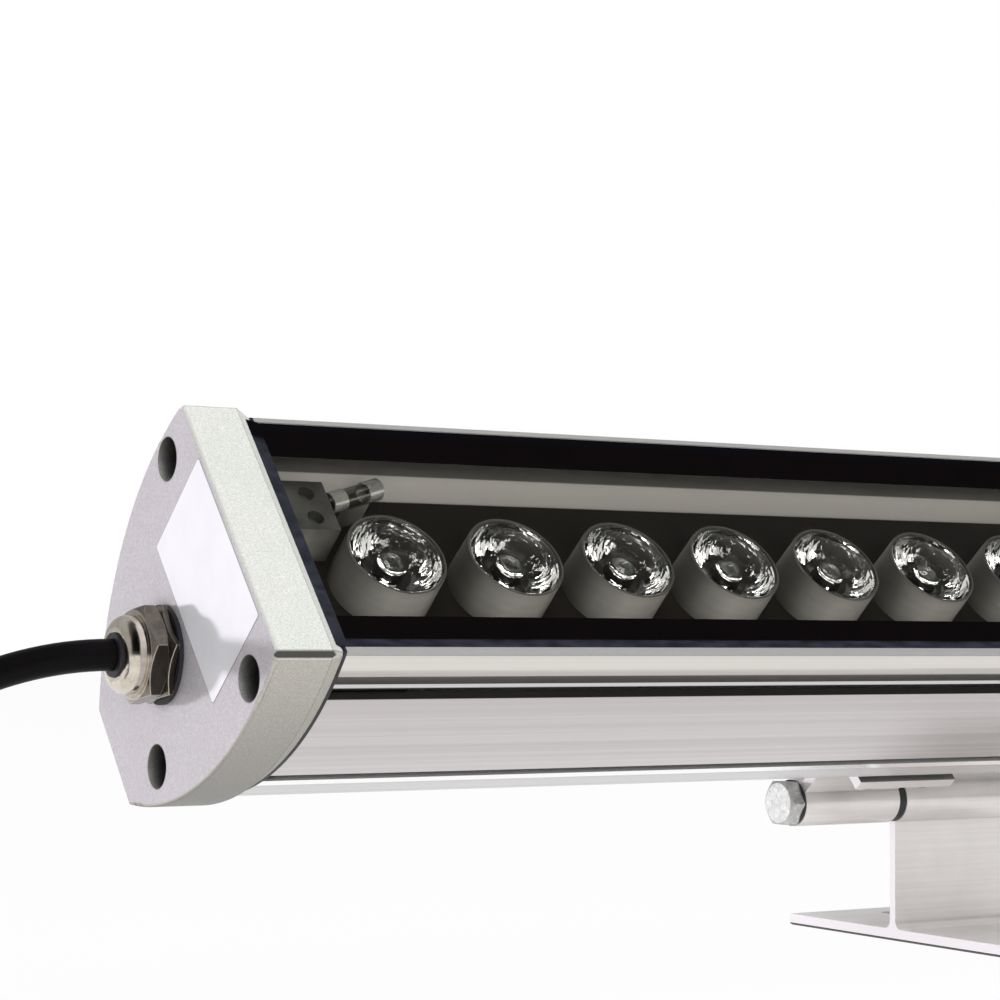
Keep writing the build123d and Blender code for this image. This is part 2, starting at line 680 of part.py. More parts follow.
def gland_dome_nut():
    hex_part = hex_bar(GLAND_FLATS, GLAND_FACE_RADIUS, GLAND_DOME_BASE, GLAND_NUT_HEX)
    dome = rod(GLAND_DOME_RADIUS, GLAND_MOUTH, GLAND_DOME)
    dome = fillet(dome.faces().sort_by(Axis.X)[0].edges(), GLAND_DOME_RADIUS - GLAND_MOUTH_RADIUS)
    nut = hex_part + dome
    return at_gland(nut - rod(GLAND_SEAL_RADIUS, GLAND_MOUTH, GLAND_DOME + GLAND_NUT_HEX))


def gland_seal():
    length = GLAND_SEAL_PROUD + GLAND_DOME + GLAND_NUT_HEX + GLAND_BODY_HEX
    sleeve = rod(GLAND_SEAL_RADIUS - FIT, CABLE_START, length)
    return at_gland(sleeve - rod(CABLE_RADIUS + FIT, CABLE_START, length))


def cable_inlet():
    """The jacketed cable from the gland's mouth to the driver's terminal."""
    end = DRIVER_LEFT - TERMINAL_LENGTH / 2
    return at_gland(rod(CABLE_RADIUS, CABLE_START, end - CABLE_START))


# ---------------------------------------------------------------- hinges
def bracket():
    """Plate, web and barrel of one extrusion, screwed to the housing's back rail."""
    axis_z = -HINGE_DEPTH
    profile = band(BRACKET_HALF_WIDTH, CAP_DEPTH, PLATE_BACK)
    profile += band(BRACKET_WEB / 2, PLATE_BACK, HINGE_DEPTH)
    corners = [v for v in profile.vertices() if abs(v.X) < BRACKET_WEB and abs(v.Y + PLATE_BACK) < FIT]
    profile = fillet(corners, WEB_FILLET)
    profile += Pos(0, axis_z) * Circle(BARREL_RADIUS)
    profile -= Pos(0, axis_z) * Circle(BOLT_RADIUS + FIT)
    piece = along_x(profile, BRACKET_LEFT, BRACKET_LENGTH)
    for x, y in bracket_screw_places():
        piece -= upright(BRACKET_SCREW_RADIUS + LOOSE_FIT, BRACKET_PLATE, x, y, -PLATE_BACK)
    return piece


def bracket_screws():
    screws = []
    for x, y in bracket_screw_places():
        length = BRACKET_PLATE + BRACKET_SCREW_GRIP
        shank = upright(BRACKET_SCREW_RADIUS, length, x, y, -PLATE_BACK)
        head_bottom = -PLATE_BACK - BRACKET_SCREW_HEAD_HEIGHT
        head = upright(BRACKET_SCREW_HEAD_RADIUS, BRACKET_SCREW_HEAD_HEIGHT, x, y, head_bottom)
        screws.append(shank + head)
    return group(screws)


def on_hinge(shape):
    return Pos(0, 0, -HINGE_DEPTH) * shape


def hinge_bolt():
    under_head = BRACKET_LEFT - WASHER_THICKNESS
    tip = STACK_END + WASHER_THICKNESS + NUT_HEIGHT + BOLT_TIP_PROUD
    start = under_head - BOLT_HEAD_HEIGHT
    head = hex_bar(BOLT_FLATS, BOLT_FACE_RADIUS, start, BOLT_HEAD_HEIGHT, bevel_end=False)
    shank = rod(BOLT_RADIUS, under_head, tip - under_head)
    shank = chamfer(shank.faces().sort_by(Axis.X)[-1].edges(), BOLT_TIP_CHAMFER)
    return on_hinge(Rot(X=BOLT_TURN) * (head + shank))


def hinge_nut():
    start = STACK_END + WASHER_THICKNESS
    nut = hex_bar(BOLT_FLATS, BOLT_FACE_RADIUS, start, NUT_HEIGHT)
    return on_hinge(Rot(X=BOLT_TURN) * (nut - rod(BOLT_RADIUS, start, NUT_HEIGHT)))


def hinge_washers():
    """One under the bolt's head, one between bracket and foot, one under the nut."""
    stack = (
        (BRACKET_LEFT - WASHER_THICKNESS, WASHER_THICKNESS),
        (BRACKET_LEFT + BRACKET_LENGTH, SPACER_THICKNESS),
        (STACK_END, WASHER_THICKNESS),
    )
    return group(
        [
            on_hinge(rod(WASHER_RADIUS, start, thick) - rod(BOLT_RADIUS + FIT, start, thick))
            for start, thick in stack
        ]
    )


def foot():
    """Base, web and barrel of one extrusion, drawn in the floor's frame with the hinge over Y = 0."""
    base_middle = (FOOT_BACK - FOOT_FRONT) / 2
    profile = Pos(base_middle, FOOT_PLATE / 2) * Rectangle(FOOT_FRONT + FOOT_BACK, FOOT_PLATE)
    profile += Pos(0, HINGE_HEIGHT / 2) * Rectangle(FOOT_WEB, HINGE_HEIGHT)
    corners = [v for v in profile.vertices() if abs(v.X) < FOOT_WEB and abs(v.Y - FOOT_PLATE) < FIT]
    profile = fillet(corners, WEB_FILLET)
    profile += Pos(0, HINGE_HEIGHT) * Circle(BARREL_RADIUS)
    profile -= Pos(0, HINGE_HEIGHT) * Circle(BOLT_RADIUS + FIT)
    piece = along_x(profile, FOOT_LEFT, FOOT_LENGTH)
    piece = chamfer(piece.faces().sort_by(Axis.Z)[0].edges(), FOOT_EDGE)
    slot = extrude(Rot(Z=90) * SlotOverall(SLOT_LENGTH, SLOT_WIDTH), FOOT_PLATE)
    for y in (-SLOT_FRONT_Y, SLOT_BACK_Y):
        piece -= Pos(FOOT_LEFT + FOOT_LENGTH / 2, y, 0) * slot
    return piece


# ---------------------------------------------------------------- free cable
def cable_route():
    """Points of the free stretch in the floor's frame, from the gland's mouth to the coil."""
    lean = radians(REST_TILT)
    rise = HINGE_DEPTH - GLAND_DEPTH
    mouth = Vector(CABLE_START, -rise * sin(lean), HINGE_HEIGHT + rise * cos(lean))
    lying = CABLE_RADIUS + FLOOR_CLEARANCE
    fall = mouth.Z - lying
    steps = (  # distance out from the gland, drift towards the back, share of the fall that is left
        (RUNNING_GAP, 0, 1),
        (13.5, 0, 1),
        (39.8, -1, 0.854),
        (64.3, 0, 0.495),
        (81, 3, 0.193),
        (108.2, 8, 0),
        (136.2, 8, 0),
    )
    return [Vector(mouth.X - out, mouth.Y + drift, lying + left * fall) for out, drift, left in steps]


def corner_radii(points):
    radii = []
    for before, here, after in zip(points, points[1:], points[2:]):
        turn = (here - before).get_angle(after - here)
        shorter = min((here - before).length, (after - here).length)
        radii.append(0.45 * shorter / tan(radians(turn) / 2))
    return radii


def power_cable():
    points = cable_route()
    radii = corner_radii(points)
    path = FilletPolyline(*points, radius=radii)
    print("cable radii", [round(radius, 1) for radius in radii], "free length", round(path.length, 1))
    return sweep(Plane(path @ 0, z_dir=path % 0) * Circle(CABLE_RADIUS), path=path)


def coil_point(turn):
    """A point of the coil's centreline; the coil winds in, climbs one layer and winds out again."""
    radius = COIL_INNER_RADIUS + COIL_PITCH * abs(turn - COIL_TURNS_IN)
    climbed = min(max(turn - COIL_TURNS_IN + COIL_CLIMB_TURNS / 2, 0), COIL_CLIMB_TURNS)
    angle = -pi / 2 - 2 * pi * turn
    return Vector(radius * cos(angle), radius * sin(angle), climbed * COIL_LAYER / COIL_CLIMB_TURNS)


def coil_heading(turn):
    step = 0.02
    return (coil_point(turn + step) - coil_point(turn - step)).normalized()


def biarc(start, start_heading, end, end_heading):
    """Two arcs that leave start and reach end along the given headings."""
    chord = end - start
    both = start_heading + end_heading
    spread = 2 * (1 - start_heading.dot(end_heading))
    reach = (sqrt(chord.dot(both) ** 2 + spread * chord.dot(chord)) - chord.dot(both)) / spread
    first = start + start_heading * reach
    second = end - end_heading * reach
    middle = (first + second) * 0.5
    heading = (second - first).normalized()
    return [TangentArc(start, middle, tangent=start_heading), TangentArc(middle, end, tangent=heading)]


def coil_path():
    """The coil's centreline, with its entry at the origin, heading towards -X."""
    turns = COIL_TURNS_IN + COIL_TURNS_OUT
    quarters = round(4 * turns)
    places = [n / 4 for n in range(quarters + 1)]
    shift = Vector(-2 * CABLE_RADIUS, 0, 0) - coil_point(0)
    points = [coil_point(turn) + shift for turn in places]
    headings = [coil_heading(turn) for turn in places]
    headings[0] = Vector(-1, 0, 0)
    edges = [Line((0, 0, 0), points[0])]
    for n in range(quarters):
        edges += biarc(points[n], headings[n], points[n + 1], headings[n + 1])
    edges.append(Line(points[-1], points[-1] + headings[-1] * 2 * CABLE_RADIUS))
    return Wire(edges), headings[-1]


def least_gap(path):
    """Least gap between the turns of a tube along path, measured on points."""
    count = int(path.length / 2)
    points = [path @ (n / count) for n in range(count + 1)]
    skip = int(pi * COIL_INNER_RADIUS / 2)
    nearest = min(
        (points[a] - points[b]).length for a in range(count + 1) for b in range(a + skip, count + 1)
    )
    return nearest - 2 * CABLE_RADIUS


def cable_coil():
    path, _ = coil_path()
    print("coil length", round(path.length, 1), "least gap between turns", round(least_gap(path), 2))
    tube = sweep(Plane(path @ 0, z_dir=path % 0) * Circle(CABLE_RADIUS), path=path)
    return Pos(*cable_route()[-1]) * tube


def cable_cores():
    """Three bare cores that come out of the end of the jacket."""
    path, heading = coil_path()
    end = Plane(path @ 1, x_dir=Vector(0, 0, 1), z_dir=heading)
    spread = CABLE_RADIUS / 2
    cores = []
    for n in range(3):
        angle = 2 * pi * n / 3
        place = end * Pos(spread * cos(angle), spread * sin(angle))
        cores.append(extrude(place * Circle(CORE_RADIUS), CORE_TAIL_LENGTH, dir=heading))
    return Pos(*cable_route()[-1]) * group(cores)


# ---------------------------------------------------------------- assembly
def lamp_nodes():
    nodes = {
        "housing_extrusion": housing_extrusion(),
        "end_cap_left": end_cap(with_gland=True),
        "end_cap_right": mirrored(end_cap(with_gland=False)),
        "end_gasket_left": end_gasket(),
        "cap_screws_left": cap_screws(),
        "cover_glass": cover_glass(),
        "glass_sealant": glass_sealant(),
        "led_board": led_board(),
        "board_screws": board_screws(),
        "led_chips": led_chips(),
        "lens_holders": lens_holders(),
        "lenses": lenses(),
        "terminal_block": terminal_block(),
        "fuse_tube": fuse_tube(),
        "fuse_caps": fuse_caps(),
        "fuse_clip": fuse_clip(),
        "led_leads": led_leads(),
        "driver_board": driver_board(),
        "driver_standoffs": driver_standoffs(),
        "driver_screws": driver_screws(),
        "driver_transformer": driver_transformer(),
        "driver_capacitors": driver_capacitors(),
        "driver_choke": driver_choke(),
        "driver_terminal": driver_terminal(),
        "gland_washer": gland_washer(),
        "gland_body": gland_body(),
        "gland_dome_nut": gland_dome_nut(),
        "gland_seal": gland_seal(),
        "cable_inlet": cable_inlet(),
        "bracket_left": bracket(),
        "bracket_screws_left": bracket_screws(),
        "hinge_bolt_left": hinge_bolt(),
        "hinge_nut_left": hinge_nut(),
        "hinge_washers_left": hinge_washers(),
    }
    caps = ("end_gasket", "cap_screws")
    hinges = ("bracket", "bracket_screws", "hinge_bolt", "hinge_nut", "hinge_washers")
    for name in caps + hinges:
        nodes[name + "_right"] = mirrored(nodes[name + "_left"])
    return nodes


def main():
    os.makedirs("parts", exist_ok=True)
    lean = Pos(0, 0, HINGE_HEIGHT) * Rot(X=REST_TILT) * Pos(0, 0, HINGE_DEPTH)
    object_nodes = {name: lean * shape for name, shape in lamp_nodes().items()}
    object_nodes["foot_left"] = foot()
    object_nodes["foot_right"] = mirrored(foot())
    cord_nodes = {"power_cable": power_cable(), "cable_coil": cable_coil(), "cable_cores": cable_cores()}

    # the origin is on the floor, at the middle of the object without its cable
    middle = Compound(list(object_nodes.values())).bounding_box().center()
    to_origin = Pos(-middle.X, -middle.Y, 0)
    print("hinge axis at X", round(-middle.X, 3), "Y", round(-middle.Y, 3), "Z", HINGE_HEIGHT)
    for name, shape in {**object_nodes, **cord_nodes}.items():
        export_step(to_origin * shape, f"parts/{name}.step")


main()
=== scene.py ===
"""Looks of the wall washer light: materials, optics, printed glass edge, label, cable, camera and light."""

import json
from math import cos, pi, radians, sin

import bmesh
import bpy
from mathutils import Euler, Matrix, Vector


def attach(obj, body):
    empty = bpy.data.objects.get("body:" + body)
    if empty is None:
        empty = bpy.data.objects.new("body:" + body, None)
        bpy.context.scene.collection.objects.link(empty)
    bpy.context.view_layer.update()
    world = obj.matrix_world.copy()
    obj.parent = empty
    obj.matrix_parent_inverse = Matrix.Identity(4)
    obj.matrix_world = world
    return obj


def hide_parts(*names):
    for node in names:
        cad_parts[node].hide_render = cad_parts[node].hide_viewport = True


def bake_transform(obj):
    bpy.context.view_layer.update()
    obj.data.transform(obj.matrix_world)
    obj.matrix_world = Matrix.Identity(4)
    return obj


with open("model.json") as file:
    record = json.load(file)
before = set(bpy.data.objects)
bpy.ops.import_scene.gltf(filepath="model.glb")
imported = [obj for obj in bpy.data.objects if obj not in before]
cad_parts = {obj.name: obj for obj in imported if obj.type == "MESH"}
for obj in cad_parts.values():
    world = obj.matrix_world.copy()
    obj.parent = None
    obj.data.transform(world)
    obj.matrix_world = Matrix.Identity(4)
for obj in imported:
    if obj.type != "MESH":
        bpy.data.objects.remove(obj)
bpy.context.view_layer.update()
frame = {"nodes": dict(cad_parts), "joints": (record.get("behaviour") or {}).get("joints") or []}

MM = 0.001

# ---------------------------------------------------------------- the lamp's own axes
# Lamp points are written as in the CAD: X along the lamp, Y across it, Z up to 0 at the front flat.
# A depth is the distance behind that flat, so a point at a depth has minus the depth as its Z.
REST_TILT = radians(48.7)
HINGE_DEPTH = 89.5 * MM
HINGE = Vector(frame["joints"][0]["pos_m"])
REST_TURN = Matrix.Rotation(REST_TILT, 4, "X")
LAMP_AXES = Matrix.Translation(HINGE) @ REST_TURN @ Matrix.Translation((0, 0, HINGE_DEPTH))
LAMP_HALF_LENGTH = 500 * MM

# Depths and widths that the added pieces share with the CAD
LENS_PITCH = 26.4 * MM
LENS_COUNT = 36
LENS_PLACES = [(n - (LENS_COUNT - 1) / 2) * LENS_PITCH for n in range(LENS_COUNT)]
BOARD_TOP = 17.0 * MM
GLASS_TOP = 1.5 * MM
GLASS_HALF = 26.0 * MM
GLASS_HALF_LENGTH = 484.5 * MM
GLAND_DOME_BASE = -506.1 * MM
LENS_SIDES = 48
HOLDER_SIDES = 64

# Lamp Z on the housing's section, where its look changes
LIP_FOOT = -2.2 * MM
BAND = (-6.8 * MM, LIP_FOOT)
STEP = (-8.4 * MM, -6.8 * MM)
PORT = (-12.7 * MM, -9.7 * MM)
FACE = (-39.0 * MM, -12.7 * MM)
SEAM = (-42.0 * MM, -39.0 * MM)
CHANNEL_FLOOR = -17.3 * MM
CHANNEL_SHADOW = (-9.7 * MM, -10.1 * MM)
# Lamp Z from which a lens has facets on its side
LENS_FACETS = (-9.2 * MM, -8.6 * MM)
# Distances across the lamp from its middle
OUTER_FROM = 24.5 * MM
CHANNEL_HALF = 24.4 * MM
LIP_FROM = 28.05 * MM
# Where painted shade blackens the sealant's upper edge
BEAD_SHADE = (22 * MM, 24 * MM)
# A painted shadow line at the cap's front corner, across the lamp and in lamp Z
CAP_CORNER_ACROSS = (-30.95 * MM, -30.1 * MM)
CAP_CORNER_HEIGHT = (-1.25 * MM, -0.1 * MM)
# Heights above the floor on the feet: a painted contact shadow below the first, painted light on the top of
# the base between the second pair
FOOT_CONTACT_SHADOW = 0.6 * MM
FOOT_BASE_TOP = (1.0 * MM, 5.0 * MM)
# How far either way the ends of a coordinate mask fade
SOFT_END = 0.1 * MM
# Least part of a surface direction along an axis for a face that looks straight along it
STRAIGHT = 0.9
# How alike a rounded and a true surface direction are, from on an edge to off it
EDGE_LIKENESS = (0.97, 0.998)

# ---------------------------------------------------------------- camera, from the photo's own perspective
SENSOR_WIDTH = 36.0
FOCAL_LENGTH = 93.44
CAMERA_LEFT_OF_LAMP = 0.20242
CAMERA_BEFORE_HINGE = 0.4885
CAMERA_HEIGHT = 0.0737
CAMERA_HEADING = 31.68
CAMERA_RISE = 2.948
CAMERA_ROLL = 0.314


def add_camera():
    data = bpy.data.cameras.new("camera")
    data.sensor_width = SENSOR_WIDTH
    data.lens = FOCAL_LENGTH
    camera = bpy.data.objects.new("camera", data)
    bpy.context.scene.collection.objects.link(camera)
    lamp_left_end = HINGE.x - LAMP_HALF_LENGTH
    camera.location = (lamp_left_end - CAMERA_LEFT_OF_LAMP, HINGE.y - CAMERA_BEFORE_HINGE, CAMERA_HEIGHT)
    turns = (90 + CAMERA_RISE, -CAMERA_ROLL, -CAMERA_HEADING)
    camera.rotation_euler = Euler([radians(turn) for turn in turns], "XYZ")
    bpy.context.scene.camera = camera


# ---------------------------------------------------------------- node helpers
class Nodes:
    """A cleared node tree, with short calls for the nodes used here."""

    def __init__(self, owner, output):
        self.owner = owner
        owner.use_nodes = True
        self.tree = owner.node_tree
        self.tree.nodes.clear()
        self.output = self.add(output)

    def add(self, kind, **settings):
        node = self.tree.nodes.new(kind)
        for key, value in settings.items():
            setattr(node, key, value)
        return node

    def link(self, source, target):
        self.tree.links.new(source, target)

    def put(self, socket, value):
        """Link an output to a socket, or give the socket a colour or number."""
        if isinstance(value, bpy.types.NodeSocket):
            self.link(value, socket)
        elif isinstance(value, tuple) and len(value) == 3 and len(socket.default_value) == 4:
            socket.default_value = (*value, 1)
        else:
            socket.default_value = value

    def ramp(self, factor, *stops):
        """A colour ramp; each stop is a position and a grey value or colour."""
        node = self.add("ShaderNodeValToRGB")
        elements = node.color_ramp.elements
        while len(elements) < len(stops):
            elements.new(0.5)
        for element, (position, colour) in zip(elements, stops):
            element.position = position
            element.color = (*colour, 1) if isinstance(colour, tuple) else (colour, colour, colour, 1)
        self.link(factor, node.inputs["Fac"])
        return node.outputs["Color"]

    def spread(self, factor, low, high, start=0.0, end=1.0):
        node = self.add("ShaderNodeMapRange")
        for key, value in (("From Min", start), ("From Max", end), ("To Min", low), ("To Max", high)):
            node.inputs[key].default_value = value
        self.link(factor, node.inputs["Value"])
        return node.outputs["Result"]

    def mix(self, factor, first, second, blend="MIX"):
        node = self.add("ShaderNodeMix", data_type="RGBA", blend_type=blend)
        for key, value in ((0, factor), (6, first), (7, second)):
            self.put(node.inputs[key], value)
        return node.outputs[2]

    def tinted(self, first, second):
        """Two colours multiplied."""
        return self.mix(1.0, first, second, "MULTIPLY")

    def math(self, operation, first, second=0.0):
        node = self.add("ShaderNodeMath", operation=operation)
        for socket, value in zip(node.inputs, (first, second)):
            self.put(socket, value)
        return node.outputs[0]

    def times(self, first, second):
        return self.math("MULTIPLY", first, second)

    def larger(self, first, second):
        return self.math("MAXIMUM", first, second)

    def split(self, vector):
        node = self.add("ShaderNodeSeparateXYZ")
        self.link(vector, node.inputs[0])
        return node.outputs

    def finish(self, shader):
        self.link(shader.outputs[0], self.output.inputs["Surface"])
        return self.owner


class Shader(Nodes):
    """A material, with its coordinates, masks and surfaces."""

    def __init__(self, name):
        super().__init__(bpy.data.materials.new(name), "ShaderNodeOutputMaterial")

    def principled(self, **values):
        node = self.add("ShaderNodeBsdfPrincipled")
        for key, value in values.items():
            self.put(node.inputs[key.replace("_", " ")], value)
        return node

    def mixed_surface(self, factor, first, second):
        node = self.add("ShaderNodeMixShader")
        for socket, output in zip(node.inputs, (factor, first.outputs[0], second.outputs[0])):
            self.link(output, socket)
        return node

    def transparent(self, tint):
        node = self.add("ShaderNodeBsdfTransparent")
        self.put(node.inputs["Color"], tint)
        return node

    def row_coordinates(self, scale=(1, 1, 1), source=None):
        """Object coordinates, or others given as the source, scaled."""
        stretch = self.add("ShaderNodeMapping", vector_type="POINT")
        stretch.inputs["Scale"].default_value = scale
        self.link(source or self.add("ShaderNodeTexCoord").outputs["Object"], stretch.inputs["Vector"])
        return stretch.outputs["Vector"]

    def lamp_coordinates(self, scale=(1, 1, 1)):
        """Object coordinates turned into the lamp's axes, then scaled."""
        turn = self.add("ShaderNodeMapping", vector_type="POINT")
        inverse = LAMP_AXES.inverted()
        turn.inputs["Rotation"].default_value = inverse.to_euler()
        turn.inputs["Location"].default_value = inverse.to_translation()
        self.link(self.add("ShaderNodeTexCoord").outputs["Object"], turn.inputs["Vector"])
        return self.row_coordinates(scale, turn.outputs["Vector"])

    def across_and_height(self):
        """A point's place across the lamp and its height, which is 0 at the front flat."""
        places = self.split(self.lamp_coordinates())
        return places[1], places[2]

    def noise(self, vector, scale, detail=2.0, roughness=0.5):
        node = self.add("ShaderNodeTexNoise")
        for key, value in (("Scale", scale), ("Detail", detail), ("Roughness", roughness)):
            node.inputs[key].default_value = value
        self.link(vector, node.inputs["Vector"])
        return node.outputs["Fac"]

    def inside(self, value, low, high):
        """1 where a coordinate lies between two limits, with soft ends."""
        rise = self.spread(value, 0.0, 1.0, low - SOFT_END, low + SOFT_END)
        fall = self.spread(value, 1.0, 0.0, high - SOFT_END, high + SOFT_END)
        return self.times(rise, fall)

    def beyond(self, value, limit):
        return self.math("GREATER_THAN", value, limit)

    def size(self, value):
        return self.math("ABSOLUTE", value)

    def along_the_row(self):
        """How far a surface faces along the row with the lamp at rest, to either side."""
        return self.size(self.rest_normal()[0])

    def outside_only(self, value):
        """The value on the way into a solid, 0 on the way out, where a straight ray would reflect again."""
        geometry = self.add("ShaderNodeNewGeometry")
        return self.times(value, self.math("SUBTRACT", 1.0, geometry.outputs["Backfacing"]))

    def hollow_shade(self, reach, dark, low, high):
        """Painted shade: darker in holes, slots and corners, where little of the space round a point is
        open.
        """
        node = self.add("ShaderNodeAmbientOcclusion", samples=8)
        node.inputs["Distance"].default_value = reach
        return self.ramp(node.outputs["AO"], (low, dark), (high, 1.0))

    def rest_normal(self):
        """The surface direction with the lamp at rest: x along the row, y to the back, z up."""
        coordinates = self.add("ShaderNodeTexCoord")
        return self.split(coordinates.outputs["Normal"])

    def rounded(self, radius):
        """A normal that rounds sharp edges off, and a mask that is 1 along those edges."""
        soft = self.add("ShaderNodeBevel", samples=4)
        soft.inputs["Radius"].default_value = radius
        geometry = self.add("ShaderNodeNewGeometry")
        alike = self.add("ShaderNodeVectorMath", operation="DOT_PRODUCT")
        self.link(soft.outputs[0], alike.inputs[0])
        self.link(geometry.outputs["Normal"], alike.inputs[1])
        return soft.outputs[0], self.spread(alike.outputs["Value"], 1.0, 0.0, *EDGE_LIKENESS)

    def bump(self, height, strength, distance, base=None):
        node = self.add("ShaderNodeBump")
        if base:
            self.link(base, node.inputs["Normal"])
        node.inputs["Strength"].default_value = strength
        node.inputs["Distance"].default_value = distance
        self.link(height, node.inputs["Height"])
        return node.outputs["Normal"]


# ---------------------------------------------------------------- metals
def cast_aluminium():
    """Sandblasted casting: a fine pale grain over soft cloudy patches, with painted shade in its screw
    holes and hollows, along its edges and at its front corner, and painted light that follows which way
    each face turns.
    """
    s = Shader("cast_aluminium")
    where = s.row_coordinates()
    grain = s.noise(where, 3000, detail=2, roughness=0.6)
    cloud = s.noise(where, 70, detail=3)
    dark, middle, light = (0.49, 0.49, 0.485), (0.565, 0.565, 0.56), (0.66, 0.665, 0.655)
    speck = s.ramp(grain, (0.32, dark), (0.52, middle), (0.70, light))
    tint = s.ramp(cloud, (0.35, (0.965, 0.97, 0.965)), (0.65, (1.0, 0.99, 1.0)))
    # Painted shade in the screw holes and other hollows.
    colour = s.tinted(s.tinted(speck, tint), s.hollow_shade(12 * MM, 0.03, 0.30, 0.70))
    # Painted light by which way a face turns with the lamp at rest: darker on faces turned down, lighter on
    # faces turned up, and a lilac tint on upright faces.
    lean = s.spread(s.rest_normal()[2], 0.0, 1.0, -1.0, 1.0)
    upright = (1.02, 0.965, 1.03)
    side = s.ramp(
        lean,
        (0.0, (0.47, 0.45, 0.43)),
        (0.26, (0.86, 0.82, 0.74)),
        (0.42, (0.94, 0.90, 0.86)),
        (0.49, upright),
        (0.51, upright),
        (0.62, (1.31, 1.32, 1.27)),
    )
    colour = s.tinted(colour, side)
    soft, edge = s.rounded(0.4 * MM)
    # Painted shade: a dark line along sharp edges.
    colour = s.mix(s.times(edge, 0.7), colour, (0.12, 0.12, 0.12))
    across, height = s.across_and_height()
    # Painted shadow: a dark line along the cap's front corner.
    corner = s.times(s.inside(across, *CAP_CORNER_ACROSS), s.inside(height, *CAP_CORNER_HEIGHT))
    colour = s.mix(corner, colour, (0.05, 0.05, 0.045))
    rough = s.spread(grain, 0.42, 0.58)
    bump = s.bump(grain, 0.3, 0.1 * MM, soft)
    return s.finish(s.principled(Base_Color=colour, Metallic=0.3, Roughness=rough, Normal=bump))


def satin_extrusion():
    """Anodised extrusion: fine lines along the lamp and a matt lens channel, with painted light on the
    underside, the step and the band between the lip and the step, painted shade on the lip, and painted
    shade in its grooves and hollows and along the top of the channel walls.
    """
    s = Shader("satin_extrusion")
    lines = s.noise(s.lamp_coordinates((1.2, 900, 900)), 1.0, detail=3, roughness=0.6)
    bands = s.noise(s.lamp_coordinates((0.4, 130, 130)), 1.0, detail=1)
    fine = s.noise(s.lamp_coordinates((25, 3500, 3500)), 1.0, detail=2)
    across, height = s.across_and_height()
    outer = s.beyond(s.size(across), OUTER_FROM)

    def stripe(heights):
        return s.times(outer, s.inside(height, *heights))

    dark, middle, light = (0.60, 0.585, 0.585), (0.655, 0.64, 0.64), (0.73, 0.715, 0.715)
    grey = s.ramp(lines, (0.30, dark), (0.50, middle), (0.72, light))
    shaded = s.tinted(grey, s.ramp(bands, (0.35, 0.93), (0.65, 1.0)))
    # Painted light: the underside nearly white.
    bright_underside = s.times(outer, s.math("LESS_THAN", height, SEAM[0]))
    # Painted light: the step lighter.
    shaded = s.mix(stripe(STEP), shaded, s.tinted(shaded, (1.15, 1.13, 1.10)))
    shaded = s.mix(bright_underside, shaded, (1.0, 0.99, 0.99))
    shaded = s.mix(stripe(FACE), shaded, s.tinted(shaded, (0.95, 0.92, 0.915)))
    # Painted light: the band between the lip and the step lighter.
    shaded = s.mix(stripe(BAND), shaded, s.tinted(shaded, (1.13, 1.11, 1.04)))
    # Painted shade: the port mouth and the seam groove near black.
    groove_shade = s.larger(stripe(PORT), stripe(SEAM))
    shaded = s.mix(groove_shade, shaded, (0.02, 0.019, 0.018))
    channel = s.times(s.math("LESS_THAN", s.size(across), CHANNEL_HALF), s.beyond(height, CHANNEL_FLOOR))
    # Painted shadow of the glass print along the top of the channel walls.
    shadow = s.spread(height, 0.22, 1.0, *CHANNEL_SHADOW)
    shaded = s.mix(channel, shaded, s.tinted((0.66, 0.64, 0.61), s.ramp(shadow, (0.0, 0.0), (1.0, 1.0))))
    # Painted shade in hollows.
    shaded = s.tinted(shaded, s.hollow_shade(4 * MM, 0.25, 0.15, 0.55))
    # Painted shade: the lip a dull, dark grey copy of the metal.
    lip = s.times(s.beyond(s.size(across), LIP_FROM), s.beyond(height, LIP_FOOT))
    colour = s.mix(lip, shaded, (0.30, 0.295, 0.29))
    metal = s.spread(s.larger(s.larger(channel, groove_shade), lip), 0.95, 0.1)
    rough = s.math("ADD", s.spread(fine, 0.24, 0.38), s.times(s.larger(channel, lip), 0.2))
    rough = s.math("SUBTRACT", rough, s.times(bright_underside, 0.16))
    bump = s.bump(lines, 0.12, 0.05 * MM)
    return s.finish(s.principled(Base_Color=colour, Metallic=metal, Roughness=rough, Normal=bump))


